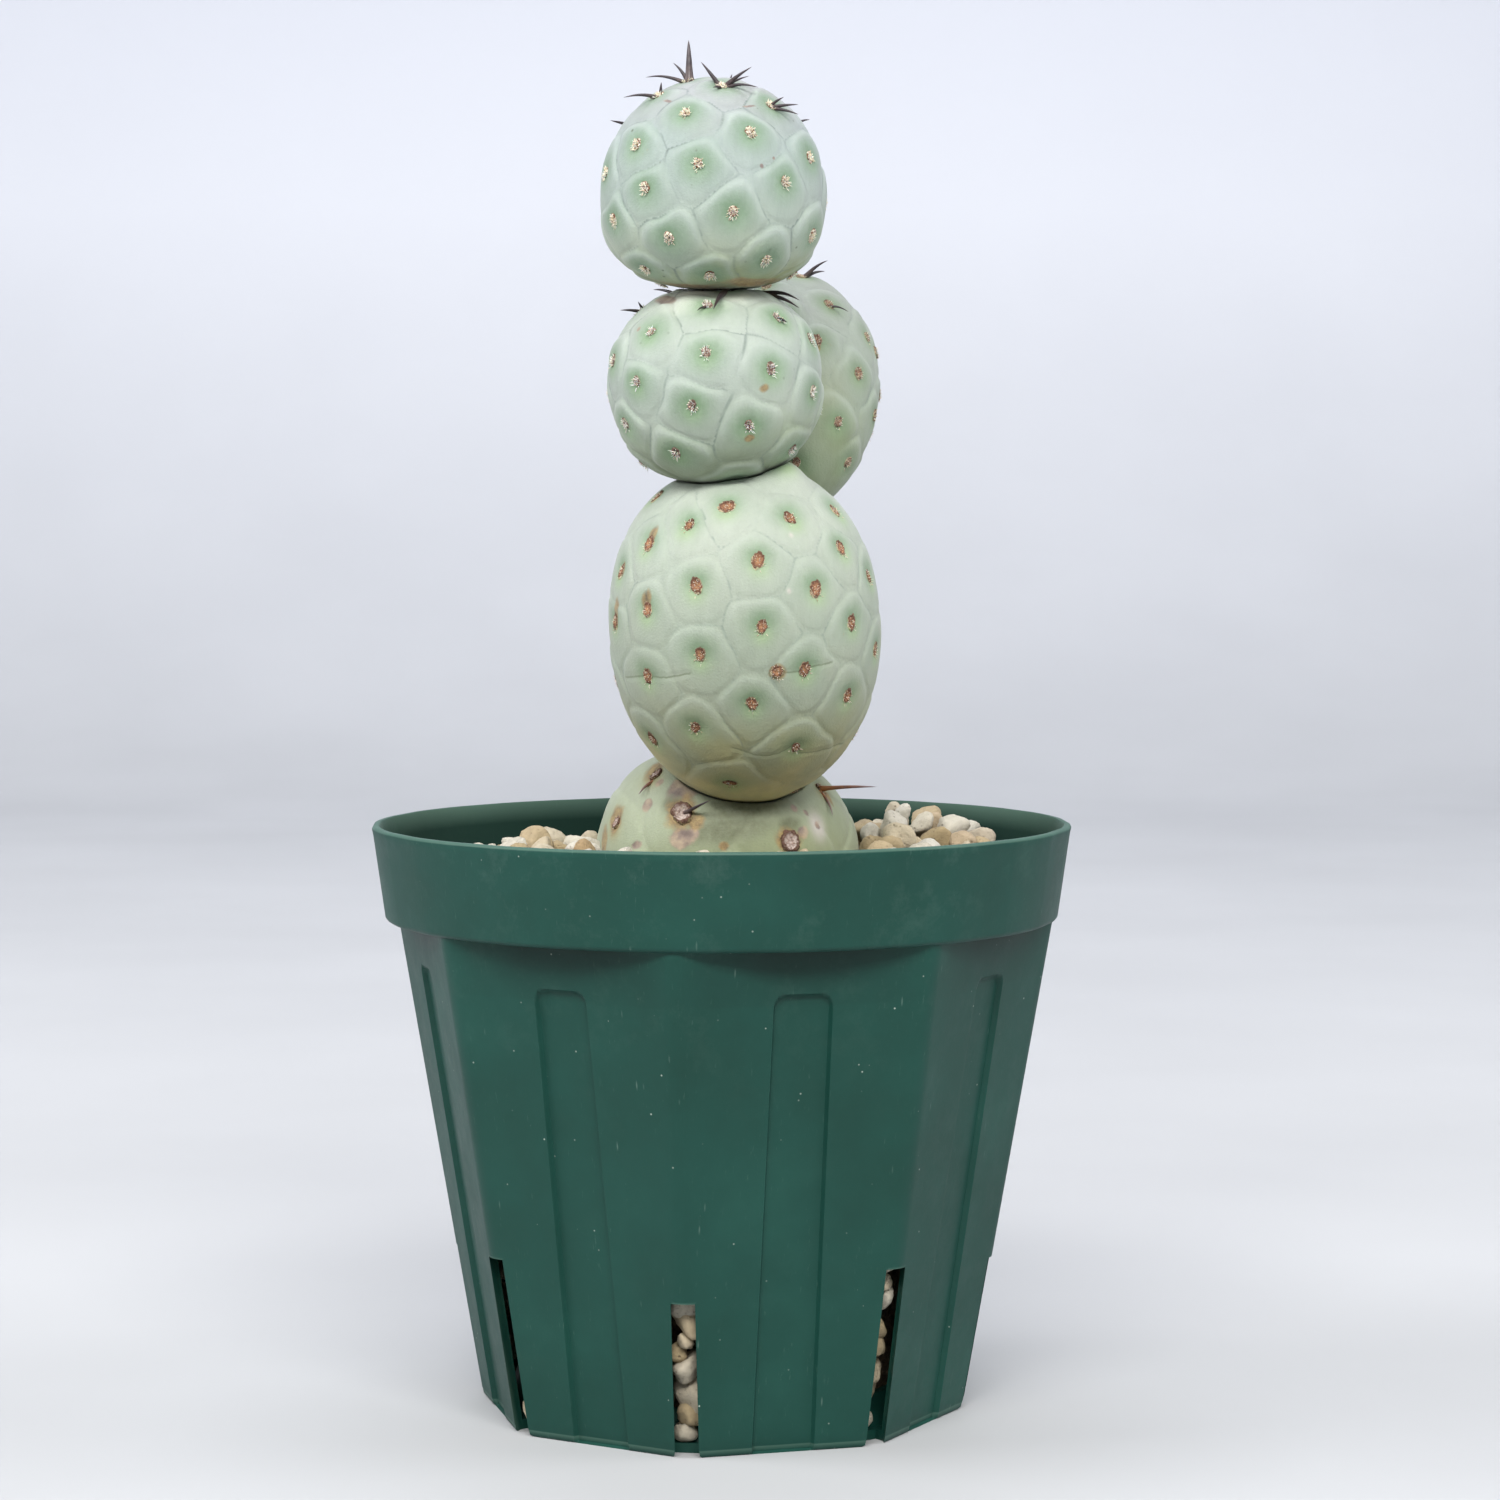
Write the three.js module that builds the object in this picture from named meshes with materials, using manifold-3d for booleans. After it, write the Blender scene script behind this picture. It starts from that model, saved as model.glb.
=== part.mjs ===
// Potted Tephrocactus geometricus: a slit pot, a gritty soil and five round stem segments.
// Millimetres, +Z up, +Y away from the front. The origin is the centre of the pot's foot.
import * as THREE from "three";
import { mergeVertices } from "three/addons/utils/BufferGeometryUtils.js";
import Module from "manifold-3d";

const wasm = await Module();
wasm.setup();

// Gap left between pieces that touch, and what is added where their facets don't line up
const TOUCH_GAP = 0.3;
const FACET_MARGIN = 0.1;

// Pot
const RIM_HEIGHT = 100.6;
const RIM_RADIUS = 60;
const BAND_FOOT_HEIGHT = 84.4;
const BAND_FOOT_RADIUS = 57.7;
const BAND_WALL = 1.4;
const BAND_EDGE_ROUND = 0.9;
const BAND_SIDES = 48;
const FLOOR_SIDES = 32;
const FACETS = 8;
const FACET_ANGLE = (2 * Math.PI) / FACETS;
const SHOULDER_CORNER_RADIUS = 57.3;
const FOOT_CORNER_RADIUS = 42.6;
const CORNER_ROUND = 5;
const POT_TURN = THREE.MathUtils.degToRad(-7.8);
const WALL = 1.7;
const FOOT_THICKNESS = 1.6;
const FLOOR_RAISE = 5;
const FLOOR_RADIUS = 33.5;
const FLOOR_FOOT_RADIUS = 35.5;
const SLIT_WIDTH = 4;
const SLIT_SHORT = 26.3;
const SLIT_TALL = 30.4;
const SLIT_INNER_RADIUS = FLOOR_FOOT_RADIUS + WALL + 1.1;
const PANEL_TOP_HEIGHT = 76.8;
const PANEL_TOP_WIDTH = 9.4;
const PANEL_FOOT_WIDTH = 10.2;
const PANEL_CORNER = 2;
const PANEL_DEPTH = 0.9;

// Soil
const SOIL_WALL_HEIGHT = 90.5;
const SOIL_HEAP_HEIGHT = 94.5;
const SOIL_HEAP_RADIUS = 38;
const GRAIN_RADIUS = 4.2;
const GRAIN_RISE = 3.6;
const GRAIN_SPACING = 7.6;
const GROUND_CELLS = 31;
const SLIT_GRAIN_STEP = 6;
const SLIT_GRAIN_RISE = 2.6;
const SLIT_GRAIN_LAYERS = 11;
const HOLE_GAP = 1.1;
const HOLE_DETAIL = 4;

// Relief of the skin: each tubercle's upper border stands out, with a groove round it
const GROOVE_DEPTH = 0.5;
const GROOVE_WIDTH = 1;
const SHOULDER_RISE = 1.2;
const SHOULDER_FADE = 4.5;
const DIMPLE_DEPTH = 0.35;
const DIMPLE_WIDTH = 1.8;
const CELL_DROP = 0.9;
const AREOLE_HEIGHT = 0.5;
const AREOLE_MARGIN = 2;
const SPINE_SIDES = 4;
const SPINE_SINK = 1.5;

// Stem segments. centre: place of the widest girth; girth: radius there; up, down: reach of the
// two ends; blunt: exponents of the two ends (2 is an ellipse, more is flatter); lean: degrees
// towards the front and to the right. The areoles follow one spiral from the crown down: turn is
// the angle between two in a row, first is where it starts, count how many fill the segment,
// skip how much of the crown is bare and crowd how they spread from crown to base.
// moved: areoles that grew off the spiral, as number: [angle, height share of the direction].
// spines: [areole, right, away, up], the last three from the areole to the tip.
const SEGMENTS = {
  segment_base: {
    centre: [1.1, 13, 92.8], girth: 22.9, up: 19.9, down: 19.9, blunt: [2.1, 2.1], lean: [-8, -8.8],
    spiral: { turn: 138.1, first: 175.6, count: 29.5, skip: 5.02, crowd: 1.39 },
    relief: 0.6, detail: 7, color: "#a3ab84",
    spines: [[7, 10, -2.5, 0.2], [7, 2.3, -4, -5.2], [9, 6, -5, 3.4], [1, -4.2, -3.5, -2.6]],
    spineRadius: 0.5,
  },
  segment_lower: {
    centre: [4, -5, 133.3], girth: 23.1, up: 29, down: 29.2, blunt: [2.3, 2], lean: [17.6, -3.1],
    spiral: { turn: 137.94, first: 73.2, count: 56, skip: 2.71, crowd: 1.402 },
    relief: 0.95, detail: 10, color: "#b5c3b3", spines: [], spineRadius: 0.5,
  },
  segment_middle: {
    centre: [-1.1, -12, 176.3], girth: 17.9, up: 15.5, down: 17.4, blunt: [2.2, 2.35], lean: [10, -6.4],
    spiral: { turn: 78.58, first: 55.1, count: 40.9, skip: 1.45, crowd: 1.082 },
    relief: 1.1, detail: 9, color: "#b4c5b6",
    spines: [[3, -5.2, -1.5, -0.4], [3, -1.6, -1.5, 1], [0, -2.9, -6.5, -2.6], [0, -5.2, -5.5, -2.6],
      [5, 5.2, -3, -0.6], [5, 4.4, -4, -2], [9, 2.2, -3, -0.4], [2, -4.5, 4, 0.8], [1, 1.5, 3, 1.4]],
    spineRadius: 0.5,
  },
  segment_top: {
    centre: [-1.4, -14, 206.1], girth: 18.7, up: 19.7, down: 16, blunt: [2.05, 2.6], lean: [5, 1.8],
    spiral: { turn: 137.47, first: 5.5, count: 39.3, skip: 0.64, crowd: 1.009 },
    moved: { 1: [-75, 0.97], 4: [170, 0.87] },
    relief: 1.1, detail: 9, color: "#bccfc1",
    spines: [[2, -5.9, -1.5, -0.6], [2, 0.4, -0.8, 2], [7, -3.6, -2, 0.4], [0, -3.5, 0.5, 4],
      [0, 4.9, -1, 3], [0, 4.5, 1.5, 1.8], [0, 6, -1.5, -0.4], [0, -1.5, -3.2, -0.6],
      [1, 0, 0.8, 7.4], [1, -7.2, 0.5, 0.6], [1, -2.6, 1, 3.1], [4, 1, 2.5, 4], [4, 4.2, 3, 1],
      [3, 2, -1, 0.9], [3, 4.3, -0.8, -0.3], [3, 4.4, -1.4, -2.1], [6, 3.6, 2, 0.8],
      [9, -3.6, 3.6, 0.6], [9, -0.5, 4.6, 1.6], [12, 1, 4.8, 0.4]],
    spineRadius: 0.62,
  },
  segment_rear: {
    centre: [12.9, 24, 176.8], girth: 15.6, up: 22.3, down: 27.5, blunt: [2.1, 1.85], lean: [-38, 3],
    spiral: { turn: 137.01, first: 62, count: 42, skip: 1.01, crowd: 0.74 },
    moved: { 0: [15.6, 0.864], 5: [22, 0.39] },
    relief: 0.95, detail: 8, color: "#98a48f",
    spines: [[0, 3.6, -1.2, 2.8], [0, 4, 0.5, 1], [2, -3, -1.5, 3], [1, 0.5, 4, 3.4], [1, -2, 3.6, 2],
      [5, 2.8, -3, -2.2]],
    spineRadius: 0.5,
  },
};

// Colours and finish
const FINISH = {
  pot: { color: "#325549", roughness: 0.45, metalness: 0 },
  soil: { color: "#c6b899", roughness: 0.95, metalness: 0 },
  skinRoughness: 0.6,
};

// A repeatable draw between 0 and 1
function makeDraw(seed) {
  let state = seed;
  return () => {
    state = (state * 1664525 + 1013904223) % 4294967296;
    return state / 4294967296;
  };
}

// Solid of a closed geometry
function solidOf(geometry) {
  const bare = geometry.clone();
  bare.deleteAttribute("normal");
  bare.deleteAttribute("uv");
  const merged = mergeVertices(bare, 1e-4);
  const index = merged.index.array;
  const faces = [];
  for (let i = 0; i < index.length; i += 3) {
    const [a, b, c] = [index[i], index[i + 1], index[i + 2]];
    if (a !== b && b !== c && c !== a) faces.push(a, b, c);
  }
  return new wasm.Manifold(
    new wasm.Mesh({
      numProp: 3,
      vertProperties: new Float32Array(merged.attributes.position.array),
      triVerts: new Uint32Array(faces),
    }),
  );
}

function geometryOf(solid) {
  const mesh = solid.getMesh();
  const geometry = new THREE.BufferGeometry();
  geometry.setAttribute("position", new THREE.BufferAttribute(mesh.vertProperties, 3));
  geometry.setIndex(new THREE.BufferAttribute(mesh.triVerts, 1));
  return geometry;
}

// The biggest body of a solid: scraps that a cut leaves loose are dropped
function mainBody(solid) {
  return solid.decompose().reduce((best, body) => (body.volume() > best.volume() ? body : best));
}

// Solid of revolution about Z: the outline runs from the foot up, as [radius, height]
function turned(outline, sides) {
  const points = outline.map(([radius, height]) => new THREE.Vector2(radius, height));
  const geometry = new THREE.LatheGeometry(points, sides);
  return geometry.rotateX(Math.PI / 2);
}

// Octagon with rounded corners, one corner in the direction of turn
function octagonShape(cornerRadius, round, turn) {
  const half = FACET_ANGLE / 2;
  const roundCentre = cornerRadius - round / Math.cos(half);
  const shape = new THREE.Shape();
  for (let i = 0; i < FACETS; i++) {
    const angle = turn - Math.PI / 2 + i * FACET_ANGLE;
    const x = roundCentre * Math.cos(angle);
    const y = roundCentre * Math.sin(angle);
    shape.absarc(x, y, round, angle - half, angle + half, false);
  }
  shape.closePath();
  return shape;
}

// Octagonal prism that widens evenly from its foot to its top
function octagonTaper(footRadius, topRadius, footHeight, topHeight, steps = 1) {
  const depth = topHeight - footHeight;
  const shape = octagonShape(footRadius, CORNER_ROUND, POT_TURN);
  const geometry = new THREE.ExtrudeGeometry(shape, { depth, steps, bevelEnabled: false, curveSegments: 3 });
  const position = geometry.attributes.position;
  for (let i = 0; i < position.count; i++) {
    const z = position.getZ(i);
    const widen = 1 + (topRadius / footRadius - 1) * (z / depth);
    position.setXYZ(i, position.getX(i) * widen, position.getY(i) * widen, z + footHeight);
  }
  return geometry;
}

// Corner radius of the pot's octagon at a height, moved inwards by an inset
function potCorner(height, inset = 0) {
  const rise = (SHOULDER_CORNER_RADIUS - FOOT_CORNER_RADIUS) / BAND_FOOT_HEIGHT;
  return FOOT_CORNER_RADIUS + rise * height - inset / Math.cos(FACET_ANGLE / 2);
}

function potSlits() {
  const outerRadius = RIM_RADIUS;
  const below = 1;
  return Array.from({ length: FACETS }, (_, i) => {
    const top = i % 2 === 0 ? SLIT_SHORT : SLIT_TALL;
    const height = top + below;
    const slit = new THREE.BoxGeometry(SLIT_WIDTH, outerRadius - SLIT_INNER_RADIUS, height);
    slit.translate(0, -(outerRadius + SLIT_INNER_RADIUS) / 2, top - height / 2);
    slit.rotateZ(POT_TURN + i * FACET_ANGLE);
    return solidOf(slit);
  });
}

// Sunk panels, one in the middle of each facet, open at the foot
function potPanels() {
  const apothemShare = Math.cos(FACET_ANGLE / 2);
  const flare = (SHOULDER_CORNER_RADIUS - FOOT_CORNER_RADIUS) * apothemShare;
  const slant = Math.atan2(flare, BAND_FOOT_HEIGHT);
  const length = PANEL_TOP_HEIGHT / Math.cos(slant);
  const below = 4;
  const shape = new THREE.Shape();
  shape.moveTo(-PANEL_FOOT_WIDTH / 2, -below);
  shape.lineTo(PANEL_FOOT_WIDTH / 2, -below);
  shape.lineTo(PANEL_TOP_WIDTH / 2, length - PANEL_CORNER);
  const cornerSide = PANEL_TOP_WIDTH / 2 - PANEL_CORNER;
  const cornerHeight = length - PANEL_CORNER;
  shape.absarc(cornerSide, cornerHeight, PANEL_CORNER, 0, Math.PI / 2, false);
  shape.absarc(-cornerSide, cornerHeight, PANEL_CORNER, Math.PI / 2, Math.PI, false);
  shape.closePath();
  const outside = 2;
  const depth = PANEL_DEPTH + outside;
  return Array.from({ length: FACETS }, (_, i) => {
    const panel = new THREE.ExtrudeGeometry(shape, { depth, bevelEnabled: false, curveSegments: 3 });
    panel.translate(0, 0, -PANEL_DEPTH);
    panel.rotateX(Math.PI / 2 + slant);
    panel.translate(0, -FOOT_CORNER_RADIUS * apothemShare, 0);
    panel.rotateZ(POT_TURN + (i + 0.5) * FACET_ANGLE);
    return solidOf(panel);
  });
}

function makePot() {
  const above = 1;
  const bandSlope = (RIM_RADIUS - BAND_FOOT_RADIUS) / (RIM_HEIGHT - BAND_FOOT_HEIGHT);
  const ledgeTop = BAND_FOOT_HEIGHT + WALL;
  const body = solidOf(
    octagonTaper(FOOT_CORNER_RADIUS, potCorner(BAND_FOOT_HEIGHT + above), 0, BAND_FOOT_HEIGHT + above),
  );
  const band = solidOf(
    turned(
      [
        [0, BAND_FOOT_HEIGHT],
        [BAND_FOOT_RADIUS - BAND_EDGE_ROUND, BAND_FOOT_HEIGHT],
        [BAND_FOOT_RADIUS - BAND_EDGE_ROUND * 0.25, BAND_FOOT_HEIGHT + BAND_EDGE_ROUND * 0.3],
        [BAND_FOOT_RADIUS + BAND_EDGE_ROUND * bandSlope, BAND_FOOT_HEIGHT + BAND_EDGE_ROUND],
        [RIM_RADIUS, RIM_HEIGHT - 0.4],
        [RIM_RADIUS - 0.4, RIM_HEIGHT],
        [0, RIM_HEIGHT],
      ],
      BAND_SIDES,
    ),
  );
  const bandHollow = solidOf(
    turned(
      [
        [0, ledgeTop],
        [BAND_FOOT_RADIUS + WALL * bandSlope - BAND_WALL, ledgeTop],
        [RIM_RADIUS + above * bandSlope - BAND_WALL, RIM_HEIGHT + above],
        [0, RIM_HEIGHT + above],
      ],
      BAND_SIDES,
    ),
  );
  const hollowTop = ledgeTop + above;
  const bodyHollow = solidOf(
    octagonTaper(potCorner(FOOT_THICKNESS, WALL), potCorner(hollowTop, WALL), FOOT_THICKNESS, hollowTop),
  );
  const raisedFloor = solidOf(
    turned(
      [
        [0, FOOT_THICKNESS / 2],
        [FLOOR_FOOT_RADIUS + WALL, FOOT_THICKNESS / 2],
        [FLOOR_RADIUS + WALL, FLOOR_RAISE + WALL],
        [0, FLOOR_RAISE + WALL],
      ],
      FLOOR_SIDES,
    ),
  );
  const underside = solidOf(
    turned(
      [
        [0, -above],
        [FLOOR_FOOT_RADIUS, -above],
        [FLOOR_FOOT_RADIUS, 0],
        [FLOOR_RADIUS, FLOOR_RAISE],
        [0, FLOOR_RAISE],
      ],
      FLOOR_SIDES,
    ),
  );
  let pot = body.add(band).subtract(bandHollow).subtract(bodyHollow).add(raisedFloor).subtract(underside);
  for (const cut of [...potSlits(), ...potPanels()]) pot = pot.subtract(cut);
  return pot;
}

// Places for one layer of grains, about evenly spread, each with its own rise
function grainPlaces(outerRadius, draw) {
  const places = [];
  for (let radius = outerRadius; radius > 0; radius -= GRAIN_SPACING * 0.87) {
    const count = Math.max(1, Math.round((2 * Math.PI * radius) / GRAIN_SPACING));
    const start = draw() * 2 * Math.PI;
    for (let i = 0; i < count; i++) {
      const angle = start + ((i + 0.3 * (draw() - 0.5)) / count) * 2 * Math.PI;
      const reach = radius + (draw() - 0.5) * 1.2;
      const rise = GRAIN_RISE * (0.6 + 0.5 * draw());
      places.push({ x: reach * Math.sin(angle), y: -reach * Math.cos(angle), rise });
    }
  }
  return places;
}

// Height of the ground between the grains
function groundHeight(radius) {
  const wallRadius = RIM_RADIUS - 4;
  const share = THREE.MathUtils.clamp((wallRadius - radius) / (wallRadius - SOIL_HEAP_RADIUS), 0, 1);
  return SOIL_WALL_HEIGHT + (SOIL_HEAP_HEIGHT - SOIL_WALL_HEIGHT) * THREE.MathUtils.smoothstep(share, 0, 1);
}

// Top of the soil: a round slab whose upper face is raised into a layer of grains
function grainySlab(foot, radius, draw) {
  const grains = grainPlaces(radius - GRAIN_RADIUS * 0.8, draw);
  const ceiling = SOIL_HEAP_HEIGHT + 2 * GRAIN_RISE;
  const slab = new THREE.BoxGeometry(2.1 * radius, 2.1 * radius, ceiling - foot, GROUND_CELLS, GROUND_CELLS);
  slab.translate(0, 0, (ceiling + foot) / 2);
  const position = slab.attributes.position;
  for (let i = 0; i < position.count; i++) {
    const [x, y, z] = [position.getX(i), position.getY(i), position.getZ(i)];
    if (z < ceiling - 0.1) continue;
    const rise = Math.max(
      ...grains.map((grain) => {
        const share = Math.hypot(x - grain.x, y - grain.y) / GRAIN_RADIUS;
        return share < 1 ? grain.rise * Math.sqrt(1 - share * share) : 0;
      }),
    );
    position.setZ(i, groundHeight(Math.hypot(x, y)) + rise);
  }
  const room = solidOf(turned([[0, foot], [radius, foot], [radius, ceiling], [0, ceiling]], BAND_SIDES));
  return solidOf(slab).intersect(room);
}

// Foot of the soil: behind each slit its corner is raised into a column of grains
function grainyFoot(inset, footHeight, topHeight) {
  const foot = octagonTaper(
    potCorner(footHeight, inset),
    potCorner(topHeight, inset),
    footHeight,
    topHeight,
    SLIT_GRAIN_LAYERS,
  );
  const position = foot.attributes.position;
  for (let i = 0; i < position.count; i++) {
    const [x, y, z] = [position.getX(i), position.getY(i), position.getZ(i)];
    const angle = Math.atan2(x, -y) - POT_TURN;
    const corner = Math.round(angle / FACET_ANGLE);
    const grain = (z - footHeight) / SLIT_GRAIN_STEP + 0.37 * corner;
    const widen = 1 + (SLIT_GRAIN_RISE * Math.abs(Math.sin(Math.PI * grain))) / Math.hypot(x, y);
    position.setXYZ(i, x * widen, y * widen, z);
  }
  return foot;
}

function makeSoil() {
  const draw = makeDraw(7);
  const inset = WALL + TOUCH_GAP + FACET_MARGIN;
  const bodyTop = BAND_FOOT_HEIGHT + WALL + 0.5;
  const footHeight = FOOT_THICKNESS + TOUCH_GAP;
  const waist = SLIT_TALL + 3;
  const ledge = BAND_FOOT_HEIGHT + WALL + TOUCH_GAP;
  const bandRadius = BAND_FOOT_RADIUS - BAND_WALL - TOUCH_GAP - FACET_MARGIN;
  const upper = solidOf(octagonTaper(potCorner(waist, inset), potCorner(bodyTop, inset), waist, bodyTop));
  const lower = solidOf(grainyFoot(inset + SLIT_GRAIN_RISE + TOUCH_GAP, footHeight, waist + 1));
  const floorRoom = solidOf(
    turned(
      [
        [0, FOOT_THICKNESS / 2],
        [FLOOR_FOOT_RADIUS + inset, FOOT_THICKNESS / 2],
        [FLOOR_RADIUS + inset, FLOOR_RAISE + inset],
        [0, FLOOR_RAISE + inset],
      ],
      FLOOR_SIDES,
    ),
  );
  const soil = upper.add(lower).add(grainySlab(ledge, bandRadius, draw));
  const stemHole = segmentSkin({ ...SEGMENTS.segment_base, detail: HOLE_DETAIL }, [], HOLE_GAP, 0);
  return mainBody(soil.subtract(floorRoom).subtract(stemHole));
}

// The segment's own frame: Z along its axis
function segmentMatrix(segment) {
  const [front, right] = segment.lean.map(THREE.MathUtils.degToRad);
  const turn = new THREE.Matrix4().makeRotationY(right);
  turn.multiply(new THREE.Matrix4().makeRotationX(front));
  return turn.setPosition(...segment.centre);
}

// Distance from the centre to the smooth surface in a direction of the segment's own frame
function smoothReach(segment, direction) {
  const upward = direction.z > 0;
  const blunt = segment.blunt[upward ? 0 : 1];
  const reach = upward ? segment.up : segment.down;
  const across = Math.hypot(direction.x, direction.y) / segment.girth;
  return (across ** blunt + (Math.abs(direction.z) / reach) ** blunt) ** (-1 / blunt);
}

function areolePlaces(segment) {
  const { turn, first, count, skip, crowd } = segment.spiral;
  const places = [];
  for (let i = 0; i + skip < count; i++) {
    const onSpiral = [first + turn * i, 1 - 2 * ((i + skip) / count) ** crowd];
    const [degrees, height] = segment.moved?.[i] ?? onSpiral;
    const across = Math.sqrt(1 - height * height);
    const angle = THREE.MathUtils.degToRad(degrees);
    const direction = new THREE.Vector3(across * Math.sin(angle), -across * Math.cos(angle), height);
    places.push(direction.multiplyScalar(smoothReach(segment, direction)));
  }
  return places;
}

// Unit vector that climbs the surface towards the crown
function upSlope(point) {
  const out = point.clone().normalize();
  return new THREE.Vector3(0, 0, 1).addScaledVector(out, -out.z).normalize();
}

// How far the relief stands out at a point of the smooth surface
function reliefAt(segment, point, areoles, cells) {
  const ranked = cells
    .map((cell, i) => ({ i, cell, far: cell.distanceTo(point) }))
    .sort((a, b) => a.far - b.far);
  const [own, next] = ranked;
  const towardsNext = next.cell.clone().sub(own.cell);
  const border = (next.far ** 2 - own.far ** 2) / (2 * towardsNext.length());
  const upperBorder = 0.5 + 0.5 * towardsNext.normalize().dot(upSlope(point));
  const shoulder = THREE.MathUtils.smoothstep(border, 0, SHOULDER_RISE) * Math.exp(-border / SHOULDER_FADE);
  const groove = Math.exp(-((border / GROOVE_WIDTH) ** 2));
  const dimple = Math.exp(-((areoles[own.i].distanceTo(point) / DIMPLE_WIDTH) ** 2));
  const base = point.z / point.length();
  const fade = THREE.MathUtils.smoothstep(base, -0.92, -0.78);
  return fade * (segment.relief * upperBorder * shoulder - GROOVE_DEPTH * groove - DIMPLE_DEPTH * dimple);
}

// True where a neighbour presses on a place of the segment's own frame
function isPressed(segment, place, neighbours) {
  const world = place.clone().applyMatrix4(segmentMatrix(segment));
  return neighbours.some((other) => {
    const local = world.clone().applyMatrix4(segmentMatrix(other).invert());
    return local.length() < smoothReach(other, local.clone().normalize()) + AREOLE_MARGIN;
  });
}

// Index of the corner of the mesh that lies nearest to a direction
function nearestCorner(corners, direction) {
  let best = 0;
  corners.forEach((corner, i) => {
    if (corner.distanceTo(direction) < corners[best].distanceTo(direction)) best = i;
  });
  return best;
}

// Closed skin of a segment, moved out by extra, with its relief scaled by amount. A corner of the
// mesh is drawn to each areole and raised there as its pad of felt, unless a neighbour presses on it.
function segmentSkin(segment, neighbours = [], extra = 0, amount = 1) {
  const areoles = areolePlaces(segment);
  const cells = areoles.map((place) => place.clone().addScaledVector(upSlope(place), -CELL_DROP));
  const ball = new THREE.IcosahedronGeometry(1, segment.detail);
  ball.deleteAttribute("normal");
  ball.deleteAttribute("uv");
  const geometry = mergeVertices(ball, 1e-5);
  const position = geometry.attributes.position;
  const corners = Array.from({ length: position.count }, (_, i) =>
    new THREE.Vector3().fromBufferAttribute(position, i).normalize(),
  );
  const pads = new Set();
  for (const place of areoles) {
    if (isPressed(segment, place, neighbours)) continue;
    const direction = place.clone().normalize();
    const corner = nearestCorner(corners, direction);
    corners[corner] = direction;
    pads.add(corner);
  }
  corners.forEach((direction, i) => {
    const point = direction.clone().multiplyScalar(smoothReach(segment, direction));
    const relief = pads.has(i) ? AREOLE_HEIGHT : reliefAt(segment, point, areoles, cells);
    point.addScaledVector(direction, relief * amount + extra);
    position.setXYZ(i, point.x, point.y, point.z);
  });
  return solidOf(geometry.applyMatrix4(segmentMatrix(segment)));
}

// Spines: slim cones whose roots are sunk into the skin
function spineCones(segment) {
  const matrix = segmentMatrix(segment);
  const areoles = areolePlaces(segment);
  return segment.spines.map(([areole, ...tip]) => {
    const foot = areoles[areole].clone().applyMatrix4(matrix);
    const along = new THREE.Vector3(...tip);
    const length = along.length() + SPINE_SINK;
    along.normalize();
    const inwards = foot.clone().sub(new THREE.Vector3(...segment.centre)).normalize();
    foot.addScaledVector(inwards, -SPINE_SINK * 0.4);
    const cone = new THREE.ConeGeometry(segment.spineRadius, length, SPINE_SIDES);
    cone.translate(0, length / 2 - SPINE_SINK, 0);
    cone.applyQuaternion(new THREE.Quaternion().setFromUnitVectors(new THREE.Vector3(0, 1, 0), along));
    return solidOf(cone.translate(foot.x, foot.y, foot.z));
  });
}

// One stem segment; pressedBy names the neighbours that dent it, touching all that it meets
function makeSegment(name, pressedBy, touching) {
  const segment = SEGMENTS[name];
  const neighbours = touching.map((other) => SEGMENTS[other]);
  let solid = segmentSkin(segment, neighbours);
  for (const spine of spineCones(segment)) solid = solid.add(spine);
  for (const other of pressedBy) {
    solid = solid.subtract(segmentSkin(SEGMENTS[other], [segment], TOUCH_GAP + FACET_MARGIN));
  }
  return mainBody(solid);
}

function namedMesh(name, solid, finish) {
  const mesh = new THREE.Mesh(geometryOf(solid), new THREE.MeshStandardMaterial(finish));
  mesh.name = name;
  return mesh;
}

// Which neighbours dent each segment, and all that stand against it
const CONTACTS = {
  segment_base: { pressedBy: ["segment_lower"], touching: ["segment_lower"] },
  segment_lower: {
    pressedBy: ["segment_middle"],
    touching: ["segment_base", "segment_middle", "segment_rear"],
  },
  segment_middle: {
    pressedBy: ["segment_top"],
    touching: ["segment_lower", "segment_top", "segment_rear"],
  },
  segment_top: { pressedBy: [], touching: ["segment_middle"] },
  segment_rear: { pressedBy: ["segment_lower"], touching: ["segment_lower", "segment_middle"] },
};

const pottedCactus = new THREE.Group();
pottedCactus.add(namedMesh("pot", makePot(), FINISH.pot));
pottedCactus.add(namedMesh("soil", makeSoil(), FINISH.soil));
const plant = new THREE.Group();
for (const [name, { pressedBy, touching }] of Object.entries(CONTACTS)) {
  const finish = { color: SEGMENTS[name].color, roughness: FINISH.skinRoughness, metalness: 0 };
  plant.add(namedMesh(name, makeSegment(name, pressedBy, touching), finish));
}
pottedCactus.add(plant);

export default pottedCactus;
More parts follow.
